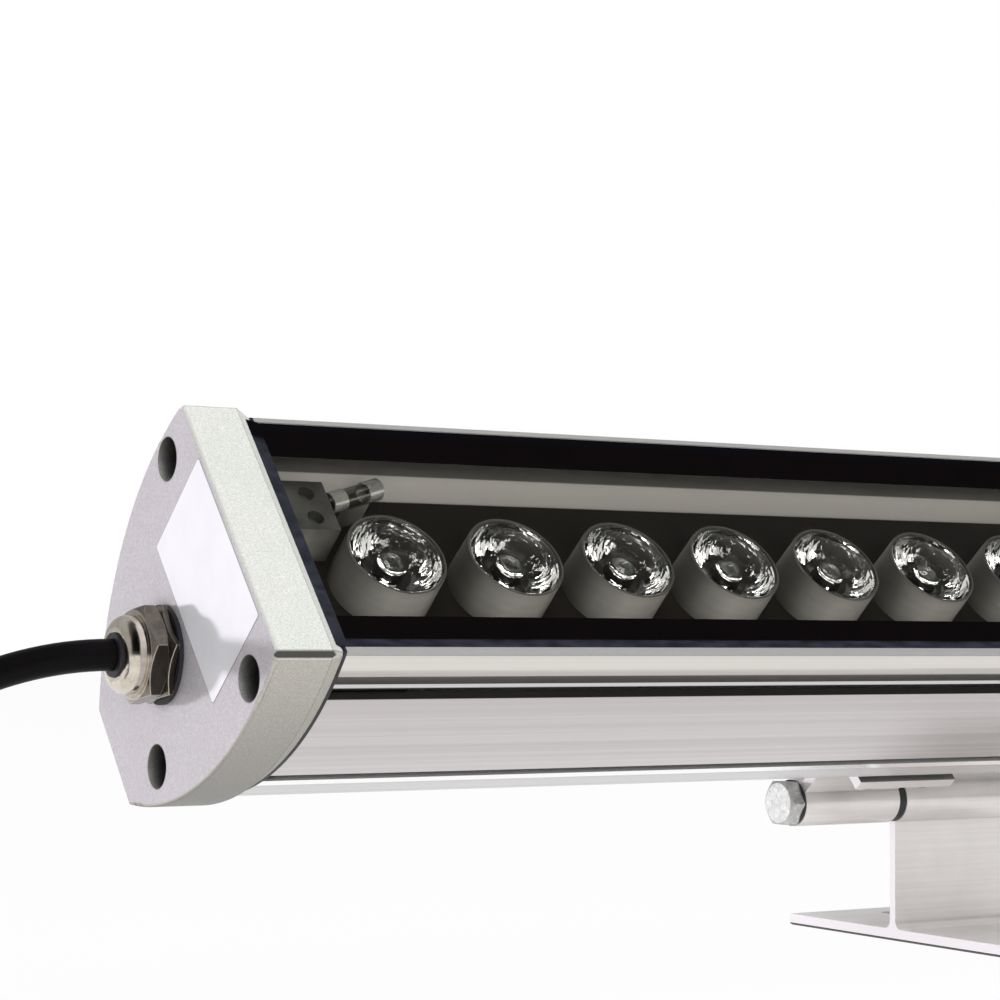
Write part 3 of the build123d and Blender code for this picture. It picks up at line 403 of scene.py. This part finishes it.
def plain_extrusion():
    """The feet and brackets: pale, with fine lines along them, flat pale cut ends whose lilac tint is
    painted light, painted light on the top of the base, painted shade in hollows and a painted contact
    shadow along the lowest edge.
    """
    s = Shader("plain_extrusion")
    lines = s.noise(s.row_coordinates((12, 1100, 1100)), 1.0, detail=3, roughness=0.6)
    patches = s.noise(s.row_coordinates(), 90, detail=3)
    grey = s.ramp(lines, (0.30, (0.79, 0.755, 0.74)), (0.70, (0.86, 0.825, 0.81)))
    worn = s.tinted(grey, s.ramp(patches, (0.35, 0.93), (0.65, 1.0)))
    # Painted shade in hollows.
    colour = s.tinted(worn, s.hollow_shade(6 * MM, 0.12, 0.2, 0.7))
    # Cut ends: a flat tone without drawn lines, as sawn faces have, in a pale lilac that is painted light.
    cut_end = s.beyond(s.along_the_row(), STRAIGHT)
    colour = s.mix(cut_end, colour, (0.84, 0.805, 0.835))
    height = s.split(s.row_coordinates())[2]
    # Painted light: the top of the base lighter.
    lit_base_top = s.times(s.beyond(s.rest_normal()[2], STRAIGHT), s.inside(height, *FOOT_BASE_TOP))
    colour = s.mix(lit_base_top, colour, s.tinted(colour, (1.15, 1.17, 1.18)))
    # Painted contact shadow along the lowest edge.
    colour = s.mix(s.math("LESS_THAN", height, FOOT_CONTACT_SHADOW), colour, (0.05, 0.048, 0.048))
    metal = s.spread(lit_base_top, 0.5, 0.1)
    rough = s.spread(patches, 0.28, 0.42)
    bump = s.bump(lines, 0.10, 0.05 * MM)
    return s.finish(s.principled(Base_Color=colour, Metallic=metal, Roughness=rough, Normal=bump))


def plated(name, colour, roughness, stain, metal=1.0):
    """Plated metal: almost smooth, with faint stains and fine scratches."""
    s = Shader(name)
    clouds = s.noise(s.row_coordinates(), 260, detail=4, roughness=0.65)
    tone = s.ramp(clouds, (0.30, tuple(c * stain for c in colour)), (0.62, colour))
    rough = s.spread(clouds, roughness * 1.5, roughness * 0.8)
    bump = s.bump(clouds, 0.10, 0.08 * MM)
    return s.finish(s.principled(Base_Color=tone, Metallic=metal, Roughness=rough, Normal=bump))


def gland_nickel():
    """Nickel with faint stains: bright on the gland's dome; on its hexagons a much darker copy that is
    painted dark reflection, darker still on faces turned to the front, with painted highlights along their
    edges.
    """
    s = Shader("gland_nickel")
    stains = s.noise(s.row_coordinates(), 420, detail=4, roughness=0.65)
    bright = s.ramp(stains, (0.30, (0.56, 0.50, 0.42)), (0.62, (0.72, 0.66, 0.58)))
    # Painted dark reflection: a much darker copy of the nickel for the hexagons, darker still on faces
    # turned to the front.
    shaded_hexagons = s.ramp(stains, (0.30, (0.15, 0.132, 0.108)), (0.65, (0.27, 0.243, 0.205)))
    front = s.ramp(s.spread(s.rest_normal()[1], 0.0, 1.0, -1.0, 0.0), (0.08, 0.22), (0.35, 1.0))
    soft, edge = s.rounded(0.3 * MM)
    # Painted highlights along the hexagons' edges.
    shaded_hexagons = s.mix(edge, s.tinted(shaded_hexagons, front), (0.55, 0.51, 0.45))
    along = s.split(s.lamp_coordinates())[0]
    hexagon = s.spread(along, 0.0, 1.0, GLAND_DOME_BASE - 0.15 * MM, GLAND_DOME_BASE + 0.15 * MM)
    rough = s.spread(stains, 0.22, 0.12)
    bump = s.bump(stains, 0.10, 0.08 * MM, soft)
    colour = s.mix(hexagon, bright, shaded_hexagons)
    return s.finish(s.principled(Base_Color=colour, Metallic=1.0, Roughness=rough, Normal=bump))


def galvanised():
    """Zinc plate: soft crystal patches and fine pits, with painted light that makes the faces at either end
    paler.
    """
    s = Shader("galvanised")
    where = s.row_coordinates()
    cells = s.add("ShaderNodeTexVoronoi", feature="F1")
    cells.inputs["Scale"].default_value = 700
    s.link(where, cells.inputs["Vector"])
    pits = s.noise(where, 1600, detail=3, roughness=0.7)
    patch = s.ramp(cells.outputs["Distance"], (0.0, (0.72, 0.72, 0.71)), (0.6, (0.56, 0.56, 0.55)))
    tone = s.tinted(patch, s.ramp(pits, (0.35, 0.75), (0.60, 1.0)))
    # Painted light: the faces at either end paler.
    end = s.beyond(s.along_the_row(), STRAIGHT)
    tone = s.mix(end, tone, s.tinted(tone, (1.38, 1.38, 1.40)))
    soft = s.rounded(0.35 * MM)[0]
    metal = s.spread(end, 0.8, 0.35)
    bump = s.bump(pits, 0.35, 0.15 * MM, soft)
    return s.finish(s.principled(Base_Color=tone, Metallic=metal, Roughness=0.34, Normal=bump))


# ---------------------------------------------------------------- plastics, rubbers, glass
def moulded(name, colour, roughness, mottle=0.06, bump=0.15, shade=None, sides=None, **extra):
    """Moulded plastic or rubber: even colour with a slight mottle and a fine surface.

    shade paints shade into its corners and hollows, and sides paints shade on the walls that face along the
    row."""
    s = Shader(name)
    where = s.row_coordinates()
    clouds = s.noise(where, 140, detail=3)
    fine = s.noise(where, 900, detail=2)
    dark = tuple(c * (1 - mottle) for c in colour)
    light = tuple(min(1.0, c * (1 + mottle)) for c in colour)
    tone = s.ramp(clouds, (0.35, dark), (0.65, light))
    if shade:
        tone = s.tinted(tone, s.hollow_shade(*shade))
    if sides:
        tone = s.tinted(tone, s.ramp(s.along_the_row(), (0.35, 1.0), (0.95, sides)))
    rough = s.spread(fine, roughness * 0.9, min(1.0, roughness * 1.1))
    normal = s.bump(fine, bump, 0.05 * MM)
    return s.finish(s.principled(Base_Color=tone, Roughness=rough, Normal=normal, **extra))


def flat_glass(name, tint, ior, roughness, smears, low, high):
    """Thin clear glass: it lets light straight through, with reflections that grow at a slant.

    smears is the noise's scale, and low and high are how much of the reflection it leaves."""
    s = Shader(name)
    gloss = s.add("ShaderNodeBsdfGlossy")
    gloss.inputs["Roughness"].default_value = roughness
    fresnel = s.add("ShaderNodeFresnel")
    fresnel.inputs["IOR"].default_value = ior
    smear = s.noise(s.lamp_coordinates(smears), 1.0, detail=3)
    amount = s.times(s.outside_only(fresnel.outputs[0]), s.spread(smear, low, high))
    return s.finish(s.mixed_surface(amount, s.transparent(tint), gloss))


def lens_acrylic():
    """Clear moulded acrylic with faceted flanks; light for what lies below passes it without a caustic."""
    s = Shader("lens_acrylic")
    height = s.across_and_height()[1]
    flank = s.spread(height, 1.0, 0.0, *LENS_FACETS)
    facets = s.add("ShaderNodeTexVoronoi", feature="F1")
    facets.inputs["Scale"].default_value = 420
    s.link(s.lamp_coordinates(), facets.inputs["Vector"])
    bump = s.bump(s.times(facets.outputs["Distance"], flank), 0.35, 0.4 * MM)
    body = s.principled(
        Base_Color=(0.97, 0.98, 0.98), Roughness=0.02, IOR=1.49, Transmission_Weight=1.0, Normal=bump
    )
    path = s.add("ShaderNodeLightPath")
    return s.finish(s.mixed_surface(path.outputs["Is Shadow Ray"], body, s.transparent((0.9, 0.92, 0.92))))


def sealing_bead():
    """Blue-black sealant with a dull skin; painted shade makes it black and without shine along its upper
    edge.
    """
    s = Shader("sealant")
    across = s.across_and_height()[0]
    skin = s.noise(s.lamp_coordinates((200, 600, 600)), 1.0, detail=3)
    navy = s.ramp(skin, (0.35, (0.008, 0.009, 0.014)), (0.65, (0.022, 0.024, 0.036)))
    # Painted shade: the upper edge black and without shine.
    shaded_upper = s.spread(across, 0.0, 1.0, *BEAD_SHADE)
    colour = s.mix(shaded_upper, navy, (0.003, 0.003, 0.004))
    rough = s.spread(skin, 0.45, 0.6)
    shine = s.spread(shaded_upper, 0.25, 0.0)
    bump = s.bump(skin, 0.4, 0.1 * MM)
    return s.finish(s.principled(Base_Color=colour, Roughness=rough, Specular_IOR_Level=shine, Normal=bump))


def make_materials():
    return {
        "cast": cast_aluminium(),
        "satin": satin_extrusion(),
        "foot": plain_extrusion(),
        "nickel": plated("nickel", (0.68, 0.62, 0.54), 0.15, 0.75),
        "gland_nickel": gland_nickel(),
        "tin": plated("tin", (0.80, 0.79, 0.75), 0.2, 0.7, metal=0.75),
        "steel": plated("steel", (0.55, 0.54, 0.52), 0.28, 0.6),
        "dark_steel": plated("dark_steel", (0.16, 0.155, 0.13), 0.35, 0.6),
        "zinc": galvanised(),
        "cable": moulded("cable_rubber", (0.003, 0.0026, 0.003), 0.42, bump=0.25, Specular_IOR_Level=0.07),
        "gasket": moulded("gasket_rubber", (0.014, 0.014, 0.018), 0.5),
        "sealant": sealing_bead(),
        "print": moulded("printed_edge", (0.0032, 0.0024, 0.0028), 0.6, bump=0.02, Specular_IOR_Level=0.0),
        "pane": flat_glass("clear_pane", (0.96, 0.955, 0.94), 1.25, 0.02, (6, 30, 30), 0.8, 1.0),
        "acrylic": lens_acrylic(),
        "fuse_glass": flat_glass("fuse_glass", (0.90, 0.90, 0.87), 1.5, 0.03, (60, 300, 300), 4.0, 5.0),
        # The holders take painted shade in their hollows and on their sides.
        "holder": moulded(
            "holder_plastic", (0.46, 0.45, 0.425), 0.45, shade=(9 * MM, 0.12, 0.2, 0.75), sides=0.40
        ),
        "board": moulded("board_mask", (0.010, 0.0085, 0.0075), 0.5, Specular_IOR_Level=0.15),
        "led": moulded("led_body", (0.75, 0.76, 0.72), 0.35),
        # The terminal block takes painted shade in its hollows.
        "block": moulded(
            "block_nylon",
            (0.32, 0.32, 0.30),
            0.35,
            mottle=0.3,
            shade=(9 * MM, 0.2, 0.25, 0.6),
            Transmission_Weight=0.25,
        ),
        "lead": moulded("lead_insulation", (0.45, 0.03, 0.03), 0.4),
        "driver_board": moulded("driver_board_mask", (0.02, 0.16, 0.06), 0.4),
        "ferrite": moulded("ferrite", (0.04, 0.04, 0.042), 0.5),
        "capacitor": moulded("capacitor_sleeve", (0.02, 0.025, 0.08), 0.3),
        "terminal": moulded("terminal_plastic", (0.04, 0.28, 0.09), 0.4),
        "washer": moulded("black_washer", (0.02, 0.02, 0.02), 0.45),
        "sticker": moulded("label_film", (0.76, 0.75, 0.79), 0.35, mottle=0.02),
        "sticker_edge": moulded("label_edge", (0.22, 0.21, 0.22), 0.5),
        "core_brown": moulded("core_brown", (0.16, 0.06, 0.03), 0.4),
        "core_blue": moulded("core_blue", (0.03, 0.12, 0.45), 0.4),
        "core_green": moulded("core_green", (0.10, 0.42, 0.06), 0.4),
        "copper": plated("copper", (0.72, 0.38, 0.24), 0.3, 0.8),
    }


NODE_LOOKS = {
    "foot": ("foot_left", "foot_right", "bracket_left", "bracket_right"),
    "satin": ("housing_extrusion",),
    "cast": ("end_cap_left", "end_cap_right"),
    "gasket": ("end_gasket_left", "end_gasket_right", "gland_washer", "gland_seal"),
    "dark_steel": ("cap_screws_left", "cap_screws_right"),
    "steel": ("board_screws", "driver_screws", "bracket_screws_left", "bracket_screws_right"),
    "pane": ("cover_glass",),
    "sealant": ("glass_sealant",),
    "board": ("led_board",),
    "led": ("led_chips",),
    "holder": ("lens_holders",),
    "acrylic": ("lenses",),
    "block": ("terminal_block", "fuse_clip"),
    "fuse_glass": ("fuse_tube",),
    "nickel": ("driver_standoffs",),
    "gland_nickel": ("gland_body", "gland_dome_nut"),
    "tin": ("fuse_caps",),
    "lead": ("led_leads",),
    "driver_board": ("driver_board",),
    "ferrite": ("driver_transformer", "driver_choke"),
    "capacitor": ("driver_capacitors",),
    "terminal": ("driver_terminal",),
    "cable": ("cable_inlet", "power_cable", "cable_coil"),
    "zinc": ("hinge_bolt_left", "hinge_bolt_right", "hinge_nut_left", "hinge_nut_right"),
    "washer": ("hinge_washers_left", "hinge_washers_right"),
    "core_brown": ("cable_cores",),
}


def dress_nodes(materials):
    """Give every CAD node its material, and shade its curved faces smooth."""
    for look, names in NODE_LOOKS.items():
        for name in names:
            node = frame["nodes"][name]
            node.data.materials.clear()
            node.data.materials.append(materials[look])
            smooth_faces(node.data, sharp=25)


# ---------------------------------------------------------------- mesh helpers
def piece_from(bm, name, material, lamp_axes=True, sharp=30):
    """A new object from a bmesh, in the lamp's axes or the row's, with edges over an angle kept sharp."""
    bmesh.ops.recalc_face_normals(bm, faces=bm.faces)
    mesh = bpy.data.meshes.new(name)
    bm.to_mesh(mesh)
    bm.free()
    if lamp_axes:
        mesh.transform(LAMP_AXES)
    smooth_faces(mesh, sharp)
    mesh.materials.append(material)
    piece = bpy.data.objects.new(name, mesh)
    bpy.context.scene.collection.objects.link(piece)
    return piece


def smooth_faces(mesh, sharp):
    """Shade smooth, apart from edges over the sharp angle in degrees."""
    mesh.polygons.foreach_set("use_smooth", [True] * len(mesh.polygons))
    mesh.set_sharp_from_angle(angle=radians(sharp))


def lamp_ring(bm, x, radius, depth, sides):
    """A circle of vertices about the lamp Z line at x, or the one vertex on it where the radius is 0."""
    if radius == 0:
        return [bm.verts.new((x, 0, -depth))]
    angles = [2 * pi * n / sides for n in range(sides)]
    return [bm.verts.new((x + radius * cos(a), radius * sin(a), -depth)) for a in angles]


def bridge(bm, rings):
    """Faces from each ring to the next; they are triangles where a ring is one vertex."""
    for first, second in zip(rings, rings[1:]):
        sides = max(len(first), len(second))
        for n in range(sides):
            places = ((first, n), (first, n + 1), (second, n + 1), (second, n))
            corners = [ring[k % len(ring)] for ring, k in places]
            bm.faces.new(list(dict.fromkeys(corners)))


def arc_points(start, end, bulge, count):
    """Points between start and end, on a line that bows outwards by bulge."""
    points = []
    for n in range(1, count):
        t = n / count
        radius = start[0] + (end[0] - start[0]) * t + bulge * sin(pi * t)
        points.append((radius, start[1] + (end[1] - start[1]) * t))
    return points


# ---------------------------------------------------------------- optics
def add_lenses(materials):
    """Collimating lenses: a flat front with a rim, a curved reflecting side and a pocket over the LED."""
    front, radius, rim = 7.15 * MM, 9.55 * MM, 0.8 * MM
    rim_step, round_off = 0.3 * MM, 0.25 * MM
    side_foot, foot_depth = 4.4 * MM, BOARD_TOP - 1.2 * MM
    pocket_radius, pocket_depth = 3.1 * MM, 4.4 * MM
    side_start, side_end = (radius - rim_step, front + rim), (side_foot, foot_depth)
    profile = [
        (0, front),
        (radius - round_off, front),
        (radius - 0.07 * MM, front + 0.07 * MM),
        (radius, front + round_off),
        (radius, front + rim),
        side_start,
        *arc_points(side_start, side_end, bulge=0.7 * MM, count=8),
        side_end,
        (pocket_radius, foot_depth),
        (pocket_radius - 0.25 * MM, foot_depth - pocket_depth * 0.8),
        (pocket_radius * 0.75, foot_depth - pocket_depth * 0.72),
        (pocket_radius * 0.4, foot_depth - pocket_depth * 0.62),
        (0, foot_depth - pocket_depth * 0.58),
    ]
    bm = bmesh.new()
    for x in LENS_PLACES:
        bridge(bm, [lamp_ring(bm, x, ring_radius, depth, LENS_SIDES) for ring_radius, depth in profile])
    piece = piece_from(bm, "clear_lenses", materials["acrylic"], sharp=35)
    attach(piece, "lamp")
    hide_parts("lenses")


def add_holders(materials):
    """Lens holders: slightly tapered tubes with a rolled top lip."""
    top, foot = 7.0 * MM, BOARD_TOP
    outer_top, outer_foot, wall = 10.2 * MM, 10.4 * MM, 0.55 * MM
    inner = outer_top - wall
    section = [
        (inner, foot),
        (inner, top + 0.1 * MM),
        (inner + 0.1 * MM, top),
        (outer_top - 0.3 * MM, top),
        (outer_top - 0.05 * MM, top + 0.12 * MM),
        (outer_top, top + 0.4 * MM),
        (outer_foot, foot - 0.3 * MM),
        (outer_foot, foot),
    ]
    bm = bmesh.new()
    for x in LENS_PLACES:
        rings = [lamp_ring(bm, x, radius, depth, HOLDER_SIDES) for radius, depth in section]
        bridge(bm, rings + rings[:1])
    piece = piece_from(bm, "grey_holders", materials["holder"], sharp=40)
    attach(piece, "lamp")
    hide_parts("lens_holders")


def add_slab(bm, low, high):
    """A flat slab between two lamp points."""
    xs, ys, zs = zip(low, high)
    verts = [bm.verts.new((x, y, z)) for x in xs for y in ys for z in zs]
    for face in ((0, 1, 3, 2), (4, 6, 7, 5), (0, 4, 5, 1), (2, 3, 7, 6), (0, 2, 6, 4), (1, 5, 7, 3)):
        bm.faces.new([verts[n] for n in face])


def add_glass_print(materials):
    """The black band fired onto the glass along both long edges."""
    lower_inner, upper_inner = -20.7 * MM, 19.05 * MM
    lift, thick = 0.005 * MM, 0.03 * MM
    bm = bmesh.new()
    for near, far in ((-GLASS_HALF, lower_inner), (upper_inner, GLASS_HALF)):
        low = (-GLASS_HALF_LENGTH, near, -GLASS_TOP + lift)
        add_slab(bm, low, (GLASS_HALF_LENGTH, far, -GLASS_TOP + thick))
    piece = piece_from(bm, "glass_print", materials["print"])
    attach(piece, "lamp")


def rounded_plate(across, depth, corner, near_x, far_x):
    """A thin plate with round corners that stands on the plane near_x of the left cap."""
    outline = []
    centres = (
        (across[1] - corner, depth[1] - corner),
        (across[0] + corner, depth[1] - corner),
        (across[0] + corner, depth[0] + corner),
        (across[1] - corner, depth[0] + corner),
    )
    steps = 4
    for quarter, (y, d) in enumerate(centres):
        for n in range(steps + 1):
            angle = pi / 2 * (quarter + n / steps)
            outline.append((y + corner * cos(angle), d + corner * sin(angle)))
    bm = bmesh.new()
    near, far = ([bm.verts.new((x, y, -d)) for y, d in outline] for x in (near_x, far_x))
    bm.faces.new(near)
    bm.faces.new(far)
    bridge(bm, [near, far])
    return bm


def add_label(materials):
    """A bare label on the left cap, with a thin darker line round it."""
    across = (-21.0 * MM, 17.5 * MM)
    depth = (1.2 * MM, 25.3 * MM)
    corner = 0.6 * MM
    face_x = -LAMP_HALF_LENGTH
    label = ("bare_label", "sticker", 0.0, 0.08 * MM)
    dark_rim = ("label_dark_rim", "sticker_edge", 0.16 * MM, 0.03 * MM)
    for name, look, wider, thick in (label, dark_rim):
        wide = (across[0] - wider, across[1] + wider)
        deep = (depth[0] - wider, depth[1] + wider)
        plate = rounded_plate(wide, deep, corner + wider, face_x, face_x - thick)
        piece = piece_from(plate, name, materials[look])
        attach(piece, "lamp")


# ---------------------------------------------------------------- cable
CABLE_RADIUS = 3.0 * MM
LYING = CABLE_RADIUS + 0.1 * MM
GLAND_DEPTH = 36.2 * MM
CABLE_START_X = -510.3 * MM
COIL_INNER_RADIUS = 26.4 * MM
COIL_PITCH = 6.6 * MM
COIL_LAYER = 6.6 * MM
COIL_TURNS_IN = 2.25
COIL_TURNS_OUT = 1.75
POINTS_PER_TURN = 24
CABLE_SIDES = 24
CORE_SIDES = 16
COPPER_SIDES = 12
# The coil climbs to its upper layer over this part of a turn, from this part before the inmost point
CLIMB_TURNS = 0.5
CLIMB_LEAD = 0.25


def gland_mouth():
    return LAMP_AXES @ Vector((CABLE_START_X, 0, -GLAND_DEPTH))


def cable_route():
    """The free stretch's points, from the gland's mouth down to the floor."""
    mouth = gland_mouth()
    fall = mouth.z - LYING
    steps = (  # distance out from the gland, drift towards the back, share of the fall that is left
        (0.1, 0, 1),
        (13.5, 0, 1),
        (39.8, -1, 0.854),
        (64.3, 0, 0.495),
        (81, 3, 0.193),
        (108.2, 8, 0),
        (136.2, 8, 0),
    )
    return [
        Vector((mouth.x - out * MM, mouth.y + drift * MM, LYING + left * fall))
        for out, drift, left in steps
    ]


def coil_route(start):
    """The coil's points: in on the floor, up one layer, and out again on top."""

    def place(turn):
        radius = COIL_INNER_RADIUS + COIL_PITCH * abs(turn - COIL_TURNS_IN)
        climb = min(max(turn - COIL_TURNS_IN + CLIMB_LEAD, 0), CLIMB_TURNS) / CLIMB_TURNS * COIL_LAYER
        angle = -pi / 2 - 2 * pi * turn
        return Vector((radius * cos(angle), radius * sin(angle), climb))

    shift = start + Vector((-2 * CABLE_RADIUS, 0, 0)) - place(0)
    count = round(POINTS_PER_TURN * (COIL_TURNS_IN + COIL_TURNS_OUT))
    points = [place(n / POINTS_PER_TURN) + shift for n in range(count + 1)]
    heading = (points[-1] - points[-2]).normalized()
    points.append(points[-1] + heading * 2 * CABLE_RADIUS)
    return points


def spline_points(points):
    """Points read from a NURBS spline with the given control points."""
    curve = bpy.data.curves.new("cable_route", "CURVE")
    curve.dimensions = "3D"
    curve.resolution_u = 12
    spline = curve.splines.new("NURBS")
    spline.points.add(len(points) - 1)
    for point, place in zip(spline.points, points):
        point.co = (*place, 1)
    spline.order_u = 3
    spline.use_endpoint_u = True
    holder = bpy.data.objects.new("cable_route", curve)
    bpy.context.scene.collection.objects.link(holder)
    bpy.context.view_layer.update()
    mesh = bpy.data.meshes.new_from_object(holder)
    line = [v.co.copy() for v in mesh.vertices]
    bpy.data.meshes.remove(mesh)
    bpy.data.objects.remove(holder)
    bpy.data.curves.remove(curve)
    return line


def add_round(line, radius, sides, name, material):
    """A piece that is a closed round bar along a line, its sections turned as little as possible."""
    bm = bmesh.new()
    side = Vector((0, 0, 1))
    rings = []
    for n, place in enumerate(line):
        before, after = line[max(n - 1, 0)], line[min(n + 1, len(line) - 1)]
        heading = (after - before).normalized()
        side = (side - heading * side.dot(heading)).normalized()
        other = heading.cross(side)
        angles = [2 * pi * k / sides for k in range(sides)]
        places = [place + side * radius * cos(a) + other * radius * sin(a) for a in angles]
        rings.append([bm.verts.new(point) for point in places])
    bridge(bm, rings)
    bm.faces.new(rings[0])
    bm.faces.new(rings[-1])
    return piece_from(bm, name, material, lamp_axes=False, sharp=60)


def add_cable(materials):
    """The supply cable, from the gland's mouth down to the floor and coiled there."""
    free = cable_route()
    line = spline_points(free + coil_route(free[-1]))
    cable = add_round(line, CABLE_RADIUS, CABLE_SIDES, "supply_cable", materials["cable"])
    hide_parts("power_cable", "cable_coil")
    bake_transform(cable)
    heading = (line[-1] - line[-3]).normalized()
    cores = add_cores(materials, line[-1], heading)


def add_cores(materials, end, heading):
    """Three insulated cores with bare copper tips, fanned out a little."""
    spread, fan_step = CABLE_RADIUS / 2, 0.8 * MM
    radius, copper_radius = 1.1 * MM, 0.6 * MM
    length, bare = 17 * MM, 5 * MM
    up = Vector((0, 0, 1))
    side = heading.cross(up)
    pieces = []
    for n, colour in enumerate(("core_brown", "core_blue", "core_green")):
        angle = 2 * pi * n / 3
        out = up * cos(angle) * spread + side * sin(angle) * spread
        fan = side * (fan_step * (n - 1))
        start = end + out
        bend = start + heading * length * 0.5 + fan * 0.3
        stop = start + heading * (length - bare) + fan
        course = spline_points([start, bend, stop])
        core = add_round(course, radius, CORE_SIDES, "cable_" + colour, materials[colour])
        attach(core, "feet")
        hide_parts("cable_cores")
        pieces.append(core)
        tip = [stop, stop + heading * bare]
        copper = add_round(tip, copper_radius, COPPER_SIDES, "copper_" + colour, materials["copper"])
        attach(copper, "feet")
        pieces.append(copper)
    return pieces


# ---------------------------------------------------------------- floor, world and lamps
FLOOR_HALF = 6.0
FLOOR_GLOW = 0.96
OVERHEAD_LEAN = radians(40)
WHITE = (1, 1, 1)


def add_floor():
    """A white floor that shows almost pure white to the camera and in reflections."""
    s = Shader("floor_white")
    surface = s.principled(Base_Color=(0.86, 0.86, 0.86), Roughness=0.7)
    glow = s.add("ShaderNodeEmission")
    s.put(glow.inputs["Color"], WHITE)
    glow.inputs["Strength"].default_value = 1.0
    path = s.add("ShaderNodeLightPath")
    seen = s.larger(path.outputs["Is Camera Ray"], path.outputs["Is Transmission Ray"])
    seen = s.larger(seen, path.outputs["Is Glossy Ray"])
    material = s.finish(s.mixed_surface(s.times(seen, FLOOR_GLOW), surface, glow))
    bm = bmesh.new()
    corners = ((-1, -1), (1, -1), (1, 1), (-1, 1))
    bm.faces.new([bm.verts.new((x * FLOOR_HALF, y * FLOOR_HALF, 0)) for x, y in corners])
    mesh = bpy.data.meshes.new("floor")
    bm.to_mesh(mesh)
    bm.free()
    mesh.materials.append(material)
    floor = bpy.data.objects.new("floor", mesh)
    bpy.context.scene.collection.objects.link(floor)


def add_world():
    """White to the camera; for surfaces, a studio that is dim overhead and in front."""
    world = bpy.data.worlds.new("studio")
    bpy.context.scene.world = world
    w = Nodes(world, "ShaderNodeOutputWorld")
    background = w.add("ShaderNodeBackground")
    direction = w.add("ShaderNodeTexCoord").outputs["Generated"]
    lean = w.add("ShaderNodeVectorMath", operation="DOT_PRODUCT")
    lean.inputs[1].default_value = (0, -sin(OVERHEAD_LEAN), cos(OVERHEAD_LEAN))
    w.link(direction, lean.inputs[0])

    def tones(source, *stops):
        return w.ramp(w.spread(source, 0.0, 1.0, -1, 1), *stops)

    heights = tones(lean.outputs["Value"], (0.0, 0.5), (0.5, 0.60), (0.70, 0.60), (0.80, 0.12), (1.0, 0.07))
    fronts = tones(w.split(direction)[1], (0.0, 0.05), (0.28, 0.08), (0.42, 0.8), (1.0, 0.8))
    path = w.add("ShaderNodeLightPath")
    seen = w.mix(path.outputs["Is Camera Ray"], w.tinted(heights, fronts), WHITE)
    w.link(seen, background.inputs["Color"])
    w.finish(background)


def add_softbox(name, place, target, size, power, tint=WHITE, refracted=True):
    """A rectangular light that leaves no image of itself in metal or in the flat glass."""
    data = bpy.data.lights.new(name, "AREA")
    data.shape = "RECTANGLE"
    data.size, data.size_y = size
    data.energy = power
    data.color = tint
    lamp = bpy.data.objects.new(name, data)
    bpy.context.scene.collection.objects.link(lamp)
    lamp.location = place
    direction = Vector(target) - Vector(place)
    lamp.rotation_euler = direction.to_track_quat("-Z", "Y").to_euler()
    lamp.visible_camera = False
    lamp.visible_glossy = False
    lamp.visible_transmission = refracted


def add_lights():
    """A small key light level with the gland, behind it to the left, and two large soft ones in front."""
    gland = gland_mouth()
    aim = (-0.30, 0.0, 0.08)
    key_place = gland + Vector((-0.69, 1.44, 0))
    add_softbox("key_back_left", key_place, gland, (0.08, 0.08), 34, (1.0, 0.97, 1.0))
    add_softbox("top_front", (-0.60, -0.85, 1.35), aim, (1.2, 1.2), 18, (0.985, 1.0, 0.98), refracted=False)
    add_softbox("front_low", (-0.75, -1.6, 0.38), aim, (1.2, 0.4), 22)


def main():
    add_camera()
    materials = make_materials()
    dress_nodes(materials)
    add_cable(materials)
    add_lenses(materials)
    add_holders(materials)
    add_glass_print(materials)
    add_label(materials)
    add_floor()
    add_world()
    add_lights()
    bpy.context.scene.view_settings.view_transform = "Standard"


main()
